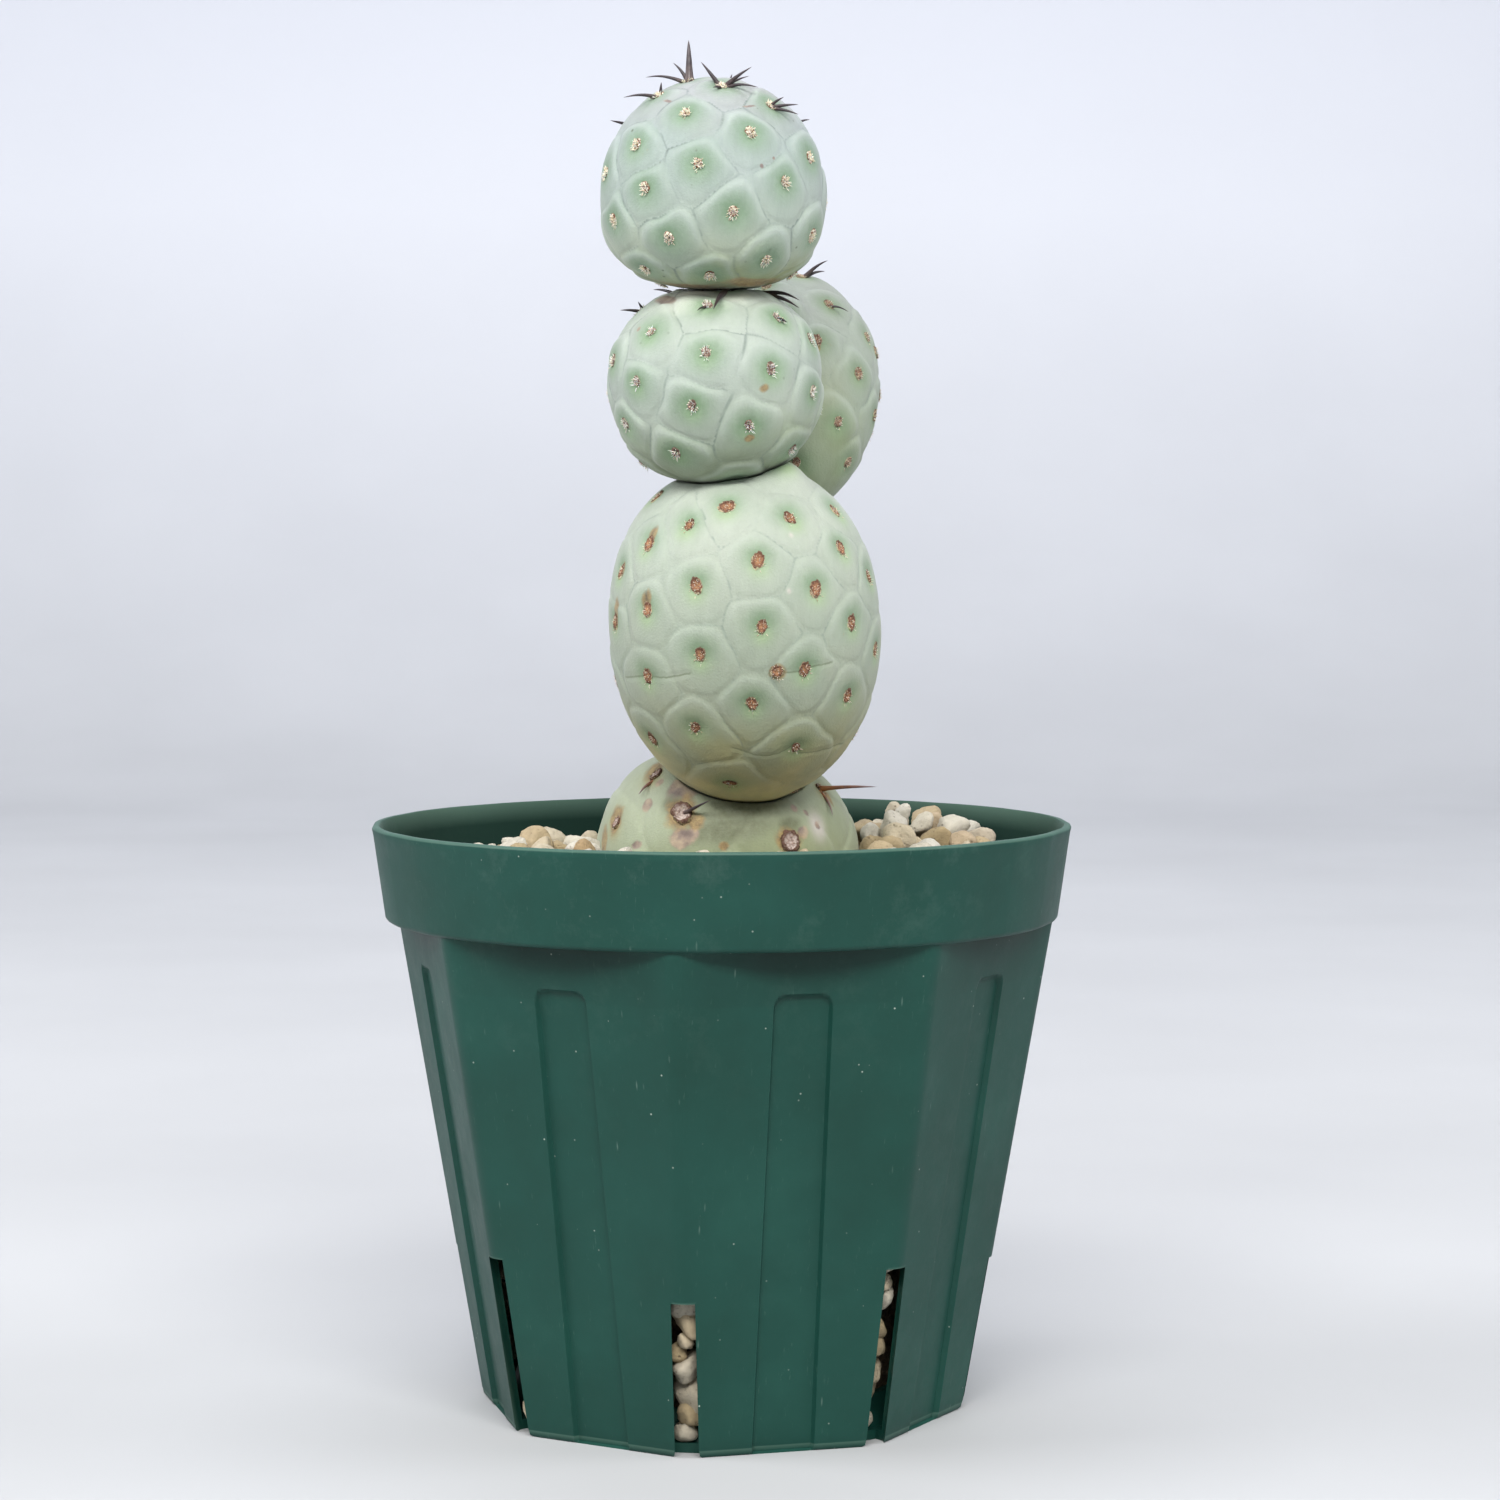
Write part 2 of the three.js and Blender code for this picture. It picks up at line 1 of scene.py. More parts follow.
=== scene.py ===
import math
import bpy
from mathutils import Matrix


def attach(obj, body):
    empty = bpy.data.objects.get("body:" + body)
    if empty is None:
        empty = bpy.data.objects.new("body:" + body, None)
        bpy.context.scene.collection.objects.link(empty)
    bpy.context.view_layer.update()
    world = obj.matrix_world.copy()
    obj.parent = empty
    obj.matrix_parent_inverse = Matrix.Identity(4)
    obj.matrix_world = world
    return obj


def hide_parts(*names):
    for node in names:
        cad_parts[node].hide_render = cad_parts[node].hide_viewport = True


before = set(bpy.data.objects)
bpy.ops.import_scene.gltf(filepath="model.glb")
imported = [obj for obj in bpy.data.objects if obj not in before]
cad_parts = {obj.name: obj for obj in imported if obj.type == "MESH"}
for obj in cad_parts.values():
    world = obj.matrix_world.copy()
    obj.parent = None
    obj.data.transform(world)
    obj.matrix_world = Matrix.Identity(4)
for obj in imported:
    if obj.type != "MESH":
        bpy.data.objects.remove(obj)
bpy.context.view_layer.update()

# A cactus of stacked ball segments, rooted in grit in an eight-sided slit pot.
# Lengths in this script are in millimetres, and times MM they are in Blender's metres.
from types import SimpleNamespace

import bmesh
import bpy
import numpy as np
from mathutils import Euler, Vector

MM = 0.001

# Driving sizes of the pot, the solids' but for the slits, which are 0.4 mm narrower here
POT = SimpleNamespace(
    rim_height=100.6, rim_radius=60.0, band_height=84.4, band_radius=57.7, band_wall=1.4,
    shoulder=57.3, foot=42.6, corner_round=4.2, turn=math.radians(-7.8), wall=1.7,
    foot_thickness=1.6, floor_raise=5.0, floor_radius=33.5, floor_foot=35.5,
    slit_width=3.6, slit_short=26.3, slit_tall=30.4, slit_inner=38.3,
    panel_top=76.8, panel_top_width=9.4, panel_foot_width=10.2, panel_corner=2.0, panel_depth=0.9,
)
FACETS = 8
FACET_ANGLE = 2 * math.pi / FACETS
HALF_FACET = FACET_ANGLE / 2

# Relief of the skin: creases between tubercles, a ridge along their upper borders, a swelling
# inside them and a dimple for each areole
GROOVE_DEPTH, GROOVE_WIDTH = 0.16, 0.45
RIDGE_PLACE, RIDGE_WIDTH, RIDGE_FADE = 0.95, 0.7, 2.2
RIDGE_SHARE, SWELL_WIDTH = 0.58, 2.2
DIMPLE_DEPTH, DIMPLE_WIDTH = 0.4, 1.9
CELL_DROP, CELL_STRENGTH, CELL_FOOT, CELL_RISE = 0.9, (0.7, 1.15), 0.3, (-4.5, 1.5)
CORNER_SOFTNESS, TURN_SOFTNESS, NEIGHBOURS = 0.8, 1.7, 8
WANDER, WANDER_LENGTH = 0.3, 7.0
TOUCH_GAP = 0.4

# Which borders count as a tubercle's upper side, and where the relief fades out towards the foot
UPPER_SIDE, FOOT_FADE = (-0.5, 0.6), (-0.95, -0.75)
# Colour cues: the pale crest's place and width, partly bloom and partly a painted highlight on the
# ridges; the side and least share of the seams' dark line, painted shade in the creases; and the
# half width, half height and drop of the green ring below an areole
CREST_PLACE, CREST_WIDTH = 0.85, 0.5
SEAM_SIDE, SEAM_LEAST, GROOVE_LEAST = (-0.75, 0.2), 0.12, 0.4
RING_WIDTH, RING_HEIGHT, RING_DROP = 1.7, 1.6, 1.7

# centre, girth, up, down, blunt, lean, spiral and moved are the solids', or within a millimetre of them.
# humps: the pixel where the skin stands higher than there, how much and how far round it.
# scars: pixels of pads that are no areoles. relief: how far the tubercles swell.
# halo: half width, half height and lift of the darker green round an areole, the skin's own where
# the bloom is thin; on the lower segment it is lifted to paint the shade above each dimple as well.
# seen: pixels of the photograph where that areole shows; None drops one that the plant lacks.
# level: how finely the skin is divided.
SEGMENTS = {
    "segment_base": dict(
        centre=(1.1, 13, 92.8), girth=22.9, up=19.9, down=19.9, blunt=(2.1, 2.1), lean=(-8, -8.8),
        spiral=dict(turn=138.1, first=175.6, count=29.5, skip=5.02, crowd=1.39),
        relief=0.3, level=54, pressed_by=("segment_lower",), humps=(((636, 772), 1.7, 10.0),),
        halo=(3.0, 3.0, 0),
        seen={1: (658, 777), 6: (618, 823), 7: (819, 787), 9: (682, 813), 12: (790, 841)},
    ),
    "segment_lower": dict(
        centre=(4, -5, 133.3), girth=23.1, up=29, down=29.8, blunt=(2.3, 2.0), lean=(17.6, -3.1),
        spiral=dict(turn=137.94, first=73.2, count=56, skip=2.71, crowd=1.402),
        relief=0.11, level=84, pressed_by=("segment_middle",), humps=(((784, 476), 2.4, 4.0),),
        scars={100: (777, 671)}, halo=(2.7, 2.2, 0.6),
        seen={
            2: (727, 506), 4: (657, 496), 5: (790, 517), 7: (689, 524), 8: (835, 510), 10: (758, 560),
            12: (649, 543), 13: (841, 547), 15: (696, 585), 17: (621, 570), 18: (816, 588),
            20: (647, 609), 21: (869, 575), 23: (762, 626), 25: (615, 621), 26: (852, 622),
            28: (700, 654), 31: (805, 669), 33: (647, 676), 34: (876, 649), 36: (752, 704),
            39: (848, 696), 41: (695, 728), 44: (796, 748), 46: (652, 739), 49: (730, 784),
        },
    ),
    "segment_middle": dict(
        centre=(-1.1, -12, 176.3), girth=17.9, up=15.5, down=17.4, blunt=(2.12, 2.35), lean=(10, -6.4),
        spiral=dict(turn=78.58, first=55.1, count=40.9, skip=1.45, crowd=1.082),
        relief=0.4, level=72, pressed_by=("segment_top",), halo=(3.2, 2.8, -0.1),
        seen={
            0: (726, 289), 3: (641, 309), 4: (708, 305), 5: (764, 289), 8: (652, 332), 9: (777, 317),
            12: (614, 360), 13: (706, 352), 17: (637, 381), 18: (771, 368), 22: (692, 405),
            23: (812, 391), 26: (626, 423), 27: (749, 425), 31: (676, 452), 32: (792, 449),
            35: (643, 464), 36: (736, 477),
        },
    ),
    "segment_top": dict(
        centre=(-1.4, -14, 206.1), girth=18.7, up=19.7, down=15.2, blunt=(2.05, 2.6), lean=(5, 1.8),
        spiral=dict(turn=137.47, first=5.5, count=39.3, skip=0.64, crowd=1.009),
        moved={1: (-75, 0.97), 4: (170, 0.87)}, relief=0.33, level=72, pressed_by=(), halo=(3.5, 3.3, 0.1),
        seen={
            0: (722, 86), 2: (659, 95), 3: (770, 105), 5: (686, 112), 8: (750, 132), 10: (637, 144),
            11: (809, 157), 13: (698, 163), 15: (606, 172), 16: (785, 181), 18: (645, 187),
            21: (733, 211), 23: (614, 219), 24: (812, 235), 26: (669, 237), 29: (766, 259),
            31: (645, 268), 34: (710, 274),
        },
    ),
    "segment_rear": dict(
        centre=(12.5, 24, 176.3), girth=15.5, up=21.9, down=27.3, blunt=(2.0, 1.82), lean=(-38, 2),
        spiral=dict(turn=137.01, first=62, count=42, skip=1.01, crowd=0.74),
        moved={0: (6, 0.864), 5: (22, 0.39)}, relief=0.4, level=60, pressed_by=("segment_lower",),
        halo=(2.8, 2.5, -0.1),
        seen={
            5: (829, 304), 13: (867, 337), 18: (817, 340), 21: None, 26: (858, 373), 29: (874, 415),
            34: (838, 422), 37: (848, 463), 39: (796, 464),
        },
    ),
}

# Camera: a long lens in front of the pot, a little above it, tipped down
FRAME_PIXELS = 1500
SENSOR = 36.0
FOCAL_PIXELS = 3747
EYE = (0.0, -643.5, 152.57)
PITCH = math.radians(90 - 3.518)
YAW = math.radians(-0.435)


def in_scene(name, data):
    """A new object of that data, in the scene."""
    made = bpy.data.objects.new(name, data)
    bpy.context.scene.collection.objects.link(made)
    return made


def make_camera():
    data = bpy.data.cameras.new("camera")
    data.sensor_width, data.lens = SENSOR, SENSOR * FOCAL_PIXELS / FRAME_PIXELS
    data.clip_start, data.clip_end = 0.05, 20
    camera = in_scene("camera", data)
    camera.location, camera.rotation_euler = [x * MM for x in EYE], (PITCH, 0, YAW)
    bpy.context.scene.camera = camera


make_camera()
SIGHT_TURN = np.array(Euler((PITCH, 0, YAW)).to_matrix())


def sight(pixel):
    """Unit direction from the camera through a pixel of the photograph."""
    half = FRAME_PIXELS / 2
    ray = SIGHT_TURN @ np.array([(pixel[0] - half) / FOCAL_PIXELS, (half - pixel[1]) / FOCAL_PIXELS, -1.0])
    return ray / np.linalg.norm(ray)


def linear(code):
    """sRGB hex colour as linear red, green, blue and alpha."""
    parts = [int(code[i : i + 2], 16) / 255 for i in (1, 3, 5)]
    return tuple(c / 12.92 if c <= 0.04045 else ((c + 0.055) / 1.055) ** 2.4 for c in parts) + (1.0,)


def smoothstep(x, low, high):
    """0 at low, 1 at high and a smooth rise between them."""
    t = np.clip((x - low) / (high - low), 0, 1)
    return t * t * (3 - 2 * t)


def unit(v):
    return v / np.maximum(np.linalg.norm(v, axis=-1, keepdims=True), 1e-9)


def ripples(points, wavelength, seed, waves=9):
    """Smooth bumps of about that wavelength, between about -1 and 1."""
    draw = np.random.default_rng(seed)
    total = np.zeros(len(points))
    for _ in range(waves):
        heading = unit(draw.normal(size=3)) * draw.uniform(0.7, 1.4) * 2 * math.pi / wavelength
        total += np.sin(points @ heading + draw.uniform(0, 2 * math.pi))
    return total / math.sqrt(waves)


def ball(level):
    """Corners and triangles of a unit ball: an icosahedron, each edge split in level parts."""
    mesh = bmesh.new()
    bmesh.ops.create_icosphere(mesh, subdivisions=1, radius=1)
    sides = [np.array([v.co[:] for v in face.verts]) for face in mesh.faces]
    mesh.free()
    steps = [(i, j) for i in range(level + 1) for j in range(level + 1 - i)]
    number = {step: k for k, step in enumerate(steps)}
    shares = np.array([(level - i - j, i, j) for i, j in steps]) / level
    pattern = [(number[i, j], number[i + 1, j], number[i, j + 1]) for i, j in steps if i + j < level]
    for i, j in steps:
        if i + j < level - 1:
            pattern.append((number[i + 1, j], number[i + 1, j + 1], number[i, j + 1]))
    corners = unit(np.concatenate([shares @ side for side in sides]))
    faces = np.concatenate([np.array(pattern) + k * len(steps) for k in range(len(sides))])
    _, first, use = np.unique(np.round(corners, 5), axis=0, return_index=True, return_inverse=True)
    return corners[first], use.reshape(-1)[faces].tolist()


def tube(rings, sides, tip=False):
    """Faces that join each ring of points to the next, and the last ring to a tip that follows it."""
    faces = []
    for ring in range(rings - 1):
        for side in range(sides):
            a, b = ring * sides + side, ring * sides + (side + 1) % sides
            faces.append((a, b, b + sides, a + sides))
    if tip:
        last = (rings - 1) * sides
        faces += [(last + side, last + (side + 1) % sides, last + sides) for side in range(sides)]
    return faces


def join(shapes):
    """Points, faces and cues of several small shapes as one."""
    points, faces, cues, start = [], [], {}, 0
    for shape_points, shape_faces, shape_cues in shapes:
        points.append(shape_points)
        faces.extend([[start + i for i in face] for face in shape_faces])
        for key, values in shape_cues.items():
            cues.setdefault(key, []).append(values)
        start += len(shape_points)
    return np.concatenate(points), faces, {key: np.concatenate(values) for key, values in cues.items()}


def mesh_object(name, points, faces):
    """An object in the scene from points in millimetres and faces."""
    mesh = bpy.data.meshes.new(name)
    mesh.from_pydata((np.asarray(points) * MM).tolist(), [], faces)
    return in_scene(name, mesh)


def mesh_piece(name, shape, material, replaces, sharp_above=None):
    """A shown piece of the object from a shape: its points, faces and colour cues."""
    points, faces, cues = shape
    piece = mesh_object(name, points, faces)
    for cue, values in cues.items():
        layer = piece.data.attributes.new(cue, "FLOAT", "POINT")
        layer.data.foreach_set("value", np.asarray(values, np.float32))
    piece.data.shade_smooth()
    if sharp_above is not None:
        piece.data.set_sharp_from_angle(angle=math.radians(sharp_above))
    piece.data.materials.append(material)
    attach(piece, "root")
    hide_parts(replaces)


# Nodes: the output that is taken where it isn't the first, the inputs of a Mix of colours, and the
# settings that a kind of node has here unless it is told otherwise
OUTPUTS = {"TexCoord": "Object", "Attribute": "Fac", "SeparateXYZ": "Z", "Mix": 2}
COLOUR_MIX = (0, 6, 7)
USUAL = {"Mix": dict(data_type="RGBA"), "Math": dict(operation="MULTIPLY")}


def add(material, kind, inputs=(), stops=(), **settings):
    """Adds a shader node and gives one of its outputs; a shader goes to the material's surface.

    inputs, by name or in their order, are values, other nodes' outputs, hex colours or names of the
    mesh's cues. In order, a MapRange has a value, the ends of its range and what they become, and a
    Mix has the share of the upper colour, the lower colour and the upper one. stops are a ramp's.
    """
    tree = material.node_tree
    made = tree.nodes.new("ShaderNode" + kind)
    for key, value in (USUAL.get(kind, {}) | settings).items():
        setattr(made, key, value)
    if stops:
        ramp = made.color_ramp.elements
        ramp.remove(ramp[1])
        ramp[0].position, ramp[0].color = stops[0][0], linear(stops[0][1])
        for position, code in stops[1:]:
            ramp.new(position).color = linear(code)
    if isinstance(inputs, tuple):
        inputs = dict(zip(COLOUR_MIX if kind == "Mix" else range(len(inputs)), inputs))
    for socket, value in inputs.items():
        if isinstance(value, str):
            value = linear(value) if value[0] == "#" else add(material, "Attribute", attribute_name=value)
        if isinstance(value, bpy.types.NodeSocket):
            tree.links.new(value, made.inputs[socket])
        else:
            made.inputs[socket].default_value = value
    if kind == "BsdfPrincipled":
        add(material, "OutputMaterial", (made.outputs[0],))
    return made.outputs[OUTPUTS.get(kind, 0)] if made.outputs else None


def blank_material(name):
    material = bpy.data.materials.new(name)
    material.use_nodes = True
    material.node_tree.nodes.clear()
    return material


def per(size):
    """Scale of a pattern whose marks are that many millimetres apart."""
    return 1 / (size * MM)


# Where a dropped areole goes, and the distances from the camera at which a sight line is tried
FAR_AWAY = 1000
SIGHT_STEPS = np.arange(560, 720, 0.05)


def turn_of(segment):
    """Matrix of a segment's lean: to the front, then to the right."""
    front, right = np.radians(segment["lean"])
    about_x = [[1, 0, 0], [0, np.cos(front), -np.sin(front)], [0, np.sin(front), np.cos(front)]]
    about_y = [[np.cos(right), 0, np.sin(right)], [0, 1, 0], [-np.sin(right), 0, np.cos(right)]]
    return np.array(about_y) @ np.array(about_x)


def to_world(segment, points):
    """Points of a segment's own frame in the pot's."""
    return points @ turn_of(segment).T + np.array(segment["centre"])


def to_local(segment, points):
    """Points of the pot's frame in a segment's own."""
    return (points - np.array(segment["centre"])) @ turn_of(segment)


def smooth_reach(segment, directions):
    """Distance from the centre to the smooth surface in directions of the segment's own frame."""
    up = directions[:, 2] > 0
    blunt = np.where(up, *segment["blunt"])
    height = np.where(up, segment["up"], segment["down"])
    across = np.hypot(directions[:, 0], directions[:, 1]) / segment["girth"]
    return (across**blunt + (np.abs(directions[:, 2]) / height) ** blunt) ** (-1 / blunt)


def areole_places(segment):
    """Places of all areoles on the smooth surface, by number; a dropped one is far away."""
    spiral = segment["spiral"]
    i = np.arange(math.ceil(spiral["count"] - spiral["skip"]))
    height = 1 - 2 * ((i + spiral["skip"]) / spiral["count"]) ** spiral["crowd"]
    angle = spiral["first"] + spiral["turn"] * i
    for number, place in segment.get("moved", {}).items():
        angle[number], height[number] = place
    angle, across = np.radians(angle), np.sqrt(1 - height**2)
    directions = np.stack([across * np.sin(angle), -across * np.cos(angle), height], 1)
    places = directions * smooth_reach(segment, directions)[:, None]
    for number, pixel in segment["seen"].items():
        if pixel is None:
            places[number] *= FAR_AWAY
        else:
            places[number] = on_skin(segment, pixel)
    return places


def on_skin(segment, pixel):
    """The point of a segment's smooth surface seen at a pixel, or its edge nearest to that pixel."""
    local = to_local(segment, np.array(EYE) + SIGHT_STEPS[:, None] * sight(pixel))
    depth = np.linalg.norm(local, axis=1) / smooth_reach(segment, unit(local))
    step = np.argmax(depth < 1) if depth.min() < 1 else np.argmin(depth)
    return local[step] / depth[step]


def up_slope(points):
    """Unit vectors that climb the surface towards the crown."""
    out = unit(points)
    return unit(np.array([0, 0, 1.0]) - out * out[:, 2:3])


def outward(segment, points):
    """Unit vectors that stand on the smooth surface."""
    height = np.where(points[:, 2] > 0, segment["up"], segment["down"])
    girth = segment["girth"]
    return unit(points / np.stack([np.full(len(points), girth)] * 2 + [height], 1) ** 2)


def cell_borders(segment, points):
    """Number of each point's own cell, and the distances and directions to its nearest borders."""
    areoles = areole_places(segment)
    cells = areoles - CELL_DROP * up_slope(areoles)
    points = points + WANDER * np.stack([ripples(points, WANDER_LENGTH, seed) for seed in (1, 2, 3)], 1)
    far = np.linalg.norm(points[:, None] - cells[None], axis=2)
    near = np.argpartition(far, NEIGHBOURS, axis=1)[:, :NEIGHBOURS]
    near = np.take_along_axis(near, np.argsort(np.take_along_axis(far, near, 1), axis=1), 1)
    far_near = np.take_along_axis(far, near, 1)
    apart = cells[near[:, 1:]] - cells[near[:, 0]][:, None]
    gap = np.linalg.norm(apart, axis=2)
    borders = (far_near[:, 1:] ** 2 - far_near[:, :1] ** 2) / (2 * gap)
    return near[:, 0], borders, apart / gap[..., None]


def tubercles(segment, points):
    """Relief and colour cues of the tubercles at points of the smooth surface."""
    own, borders, apart = cell_borders(segment, points)
    areoles = areole_places(segment)
    strength = np.random.default_rng(31).uniform(*CELL_STRENGTH, len(areoles))[own]
    closest = borders.min(1)
    beyond = borders - closest[:, None]
    border = np.maximum(closest - CORNER_SOFTNESS * np.log(np.exp(-beyond / CORNER_SOFTNESS).sum(1)), 0)
    weight = np.exp(-beyond / TURN_SOFTNESS)
    toward = np.einsum("nk,nkc->nc", weight / weight.sum(1, keepdims=True), apart)
    uphill = up_slope(points)
    facing = np.einsum("nc,nc->n", toward, uphill)
    upper = smoothstep(facing, *UPPER_SIDE)
    beside = np.sqrt(np.clip(1 - facing**2, 0, 1))
    offset = points - areoles[own]
    along = np.einsum("nc,nc->n", offset, uphill)
    aside = np.sqrt(np.maximum((offset**2).sum(1) - along**2, 0))
    inner = np.maximum(border - RIDGE_PLACE, 0) / RIDGE_FADE
    outer = np.maximum(RIDGE_PLACE - border, 0) / RIDGE_WIDTH
    ridge = np.exp(-(inner**2) - outer**2)
    swell = 1 - np.exp(-((border / SWELL_WIDTH) ** 2))
    groove = np.exp(-((border / GROOVE_WIDTH) ** 2)) * (GROOVE_LEAST + (1 - GROOVE_LEAST) * beside)
    dimple = np.exp(-((np.linalg.norm(offset, axis=1) / DIMPLE_WIDTH) ** 2))
    rise = points[:, 2] / np.linalg.norm(points, axis=1)
    fade = smoothstep(rise, *FOOT_FADE)
    halo_width, halo_height, halo_lift = segment["halo"]
    stand = CELL_FOOT + (1 - CELL_FOOT) * smoothstep(along, *CELL_RISE)
    raised = segment["relief"] * strength * (RIDGE_SHARE * upper * ridge + swell * stand)
    height = fade * (raised - GROOVE_DEPTH * groove) - DIMPLE_DEPTH * dimple
    # crest is partly a painted highlight on the ridges; edged places the painted shade of the seams
    cues = dict(
        rise=rise,
        crest=fade * strength * upper * np.exp(-(((border - CREST_PLACE) / CREST_WIDTH) ** 2)),
        border=closest,
        edged=fade * (SEAM_LEAST + (1 - SEAM_LEAST) * beside) * smoothstep(facing, *SEAM_SIDE),
        halo=np.exp(-((aside / halo_width) ** 2) - ((along - halo_lift) / halo_height) ** 2),
        ring=np.exp(-((aside / RING_WIDTH) ** 2) - ((along + RING_DROP) / RING_HEIGHT) ** 2),
    )
    return height, cues


def skin_reach(segment, directions):
    """Distance to the skin with its relief, and its colour cues."""
    smooth = smooth_reach(segment, directions)
    height, cues = tubercles(segment, directions * smooth[:, None])
    for pixel, rise, width in segment.get("humps", ()):
        away = np.linalg.norm(directions * smooth[:, None] - on_skin(segment, pixel), axis=1)
        height = height + rise * np.exp(-((away / width) ** 2))
    return smooth + height, cues


# Width of the dark line painted as shade in the seams' creases, and of a fold: its dark line from edge
# to edge, painted shade in its crease, its hollow and how deep that is
SEAM_WIDTH = 0.42
FOLD_LINE, FOLD_REACH, FOLD_DEPTH = (0.04, 0.24), 1.1, -2.5


def waxy_skin(name, look):
    """Living cactus skin: epidermis under a chalky bloom of wax.

    The bloom gives a matt, pale grey-green. A paler crest on the tubercles' upper borders is partly
    bloom and partly a painted highlight where the ridges catch the light. The bloom is thin round the
    areoles, where the darker green shows, and on the lower segment that green is lifted as painted
    shade above each dimple too. The dark lines in the seams' creases and in the folds are painted shade.
    """
    skin = blank_material(name)
    where = add(skin, "TexCoord")
    cloud = add(skin, "TexNoise", {"Vector": where, "Scale": per(11), "Detail": 4})
    patches = add(skin, "TexNoise", {"Vector": where, "Scale": per(6), "Detail": 3})
    ragged = add(skin, "TexNoise", {"Vector": where, "Scale": per(2.6), "Detail": 5})
    grain = add(skin, "TexNoise", {"Vector": where, "Scale": per(1.3), "Detail": 5, "Roughness": 0.7})
    pores = add(skin, "TexNoise", {"Vector": where, "Scale": per(0.35), "Detail": 2})

    wander = add(skin, "MapRange", (cloud, 0.3, 0.7, -0.12, 0.12))
    height = add(skin, "Math", ("rise", wander), operation="ADD")
    level = add(skin, "MapRange", (height, -1.0, 1.0))
    tone = add(skin, "ValToRGB", (level,), stops=look["body"])

    thin = add(skin, "MapRange", (cloud, 0.35, 0.7, 0.0, 0.45))
    patchy = add(skin, "MapRange", (grain, 0.25, 0.75, 0.7, 1.15))
    halo, ring, crest = (add(skin, "Math", (cue, look[cue + "_share"])) for cue in ("halo", "ring", "crest"))
    # the third of these is painted shadow, cast where the lower segment overhangs the base
    halo, crest, stain = (add(skin, "Math", (share, patchy)) for share in (halo, crest, "stain"))

    seam_shade = add(skin, "MapRange", ("border", 0.0, SEAM_WIDTH, 1.0, 0.0), interpolation_type="SMOOTHSTEP")
    seam_shade = add(skin, "Math", (seam_shade, "edged"))
    broken = add(skin, "MapRange", (patches, 0.38, 0.62, 0.0, look["seam_share"]))
    seam_shade = add(skin, "Math", (seam_shade, broken))

    wiggle = add(skin, "MapRange", (grain, 0.3, 0.7, -0.12, 0.12))
    fold = add(skin, "Math", ("fold_side", wiggle), operation="ADD")
    fold = add(skin, "Math", (fold,), operation="ABSOLUTE")
    hollow = add(skin, "MapRange", (fold, 0.0, FOLD_REACH, 1.0, 0.0), interpolation_type="SMOOTHSTEP")
    fold = add(skin, "MapRange", (fold, *FOLD_LINE, 0.6, 0.0))
    fold, hollow = (add(skin, "Math", (share, "fold_near")) for share in (fold, hollow))

    bruise, cork = (add(skin, "Math", (cue, ragged), operation="ADD") for cue in ("bruise", "cork"))
    bruise = add(skin, "MapRange", (bruise, 0.72, 1.02, 0.0, 0.85))
    dry = add(skin, "ValToRGB", (ragged,), stops=((0.35, "#645050"), (0.5, "#8a766c"), (0.65, "#a8947f")))
    cork = add(skin, "MapRange", (cork, 0.75, 1.1, 0.0, 0.85))
    bark = add(skin, "ValToRGB", (grain,), stops=((0.3, "#5a452c"), (0.5, "#8a7048"), (0.7, "#a5905e")))

    dots = add(skin, "TexVoronoi", {"Vector": where, "Scale": per(3.4)})
    dots = add(skin, "MapRange", (dots, 0.05, 0.1, 1.0, 0.0))
    sparse = add(skin, "MapRange", (broken, 0.4, 0.75, 0.0, look["dots_share"]))
    dots = add(skin, "Math", (dots, sparse))

    # the seams' and folds' dark lines below are painted shade in creases; the crest is part painted highlight
    layers = (
        (thin, look["thin"]), (halo, look["halo"]), (ring, look["ring"]), (crest, look["crest"]),
        (seam_shade, look["seam_shade"]), (fold, "#5f6b4c"), (stain, "#505338"), ("chalk", "#bfb8b2"), (bruise, dry),
        (cork, bark), (dots, "#57604f"),
    )
    for share, colour in layers:
        tone = add(skin, "Mix", (share, tone, colour))

    # foot_shade darkens each segment's underside as painted shade; the stretched noise adds streaks
    shade = add(skin, "MapRange", (height, -1.0, -0.35, look["foot_shade"], 1.0))
    wiped = add(skin, "Mapping", {"Vector": where, "Scale": (1.0, 1.0, 0.2)})
    wiped = add(skin, "TexNoise", {"Vector": wiped, "Scale": per(1.6), "Detail": 4, "Roughness": 0.7})
    wiped = add(skin, "MapRange", (wiped, 0.3, 0.7, 0.94, 1.05))
    shade = add(skin, "Math", (shade, wiped))
    tone = add(skin, "HueSaturation", {"Value": shade, "Color": tone})

    flour = add(skin, "MapRange", (pores, 0.3, 0.7, -0.5, 0.5))
    bump = add(skin, "Math", (flour, grain), operation="ADD")
    bump = add(skin, "Math", (hollow, FOLD_DEPTH, bump), operation="MULTIPLY_ADD")
    bump = add(skin, "Bump", {"Strength": 0.18, "Distance": 0.25 * MM, "Height": bump})
    finish = {
        "Base Color": tone, "Normal": bump, "Roughness": look["roughness"], "IOR": 1.42,
        "Subsurface Weight": 0.06, "Subsurface Radius": (0.9, 1.2, 0.6), "Subsurface Scale": 1.5 * MM,
        "Sheen Weight": 0.12, "Sheen Roughness": 0.6,
    }
    add(skin, "BsdfPrincipled", finish)
    return skin
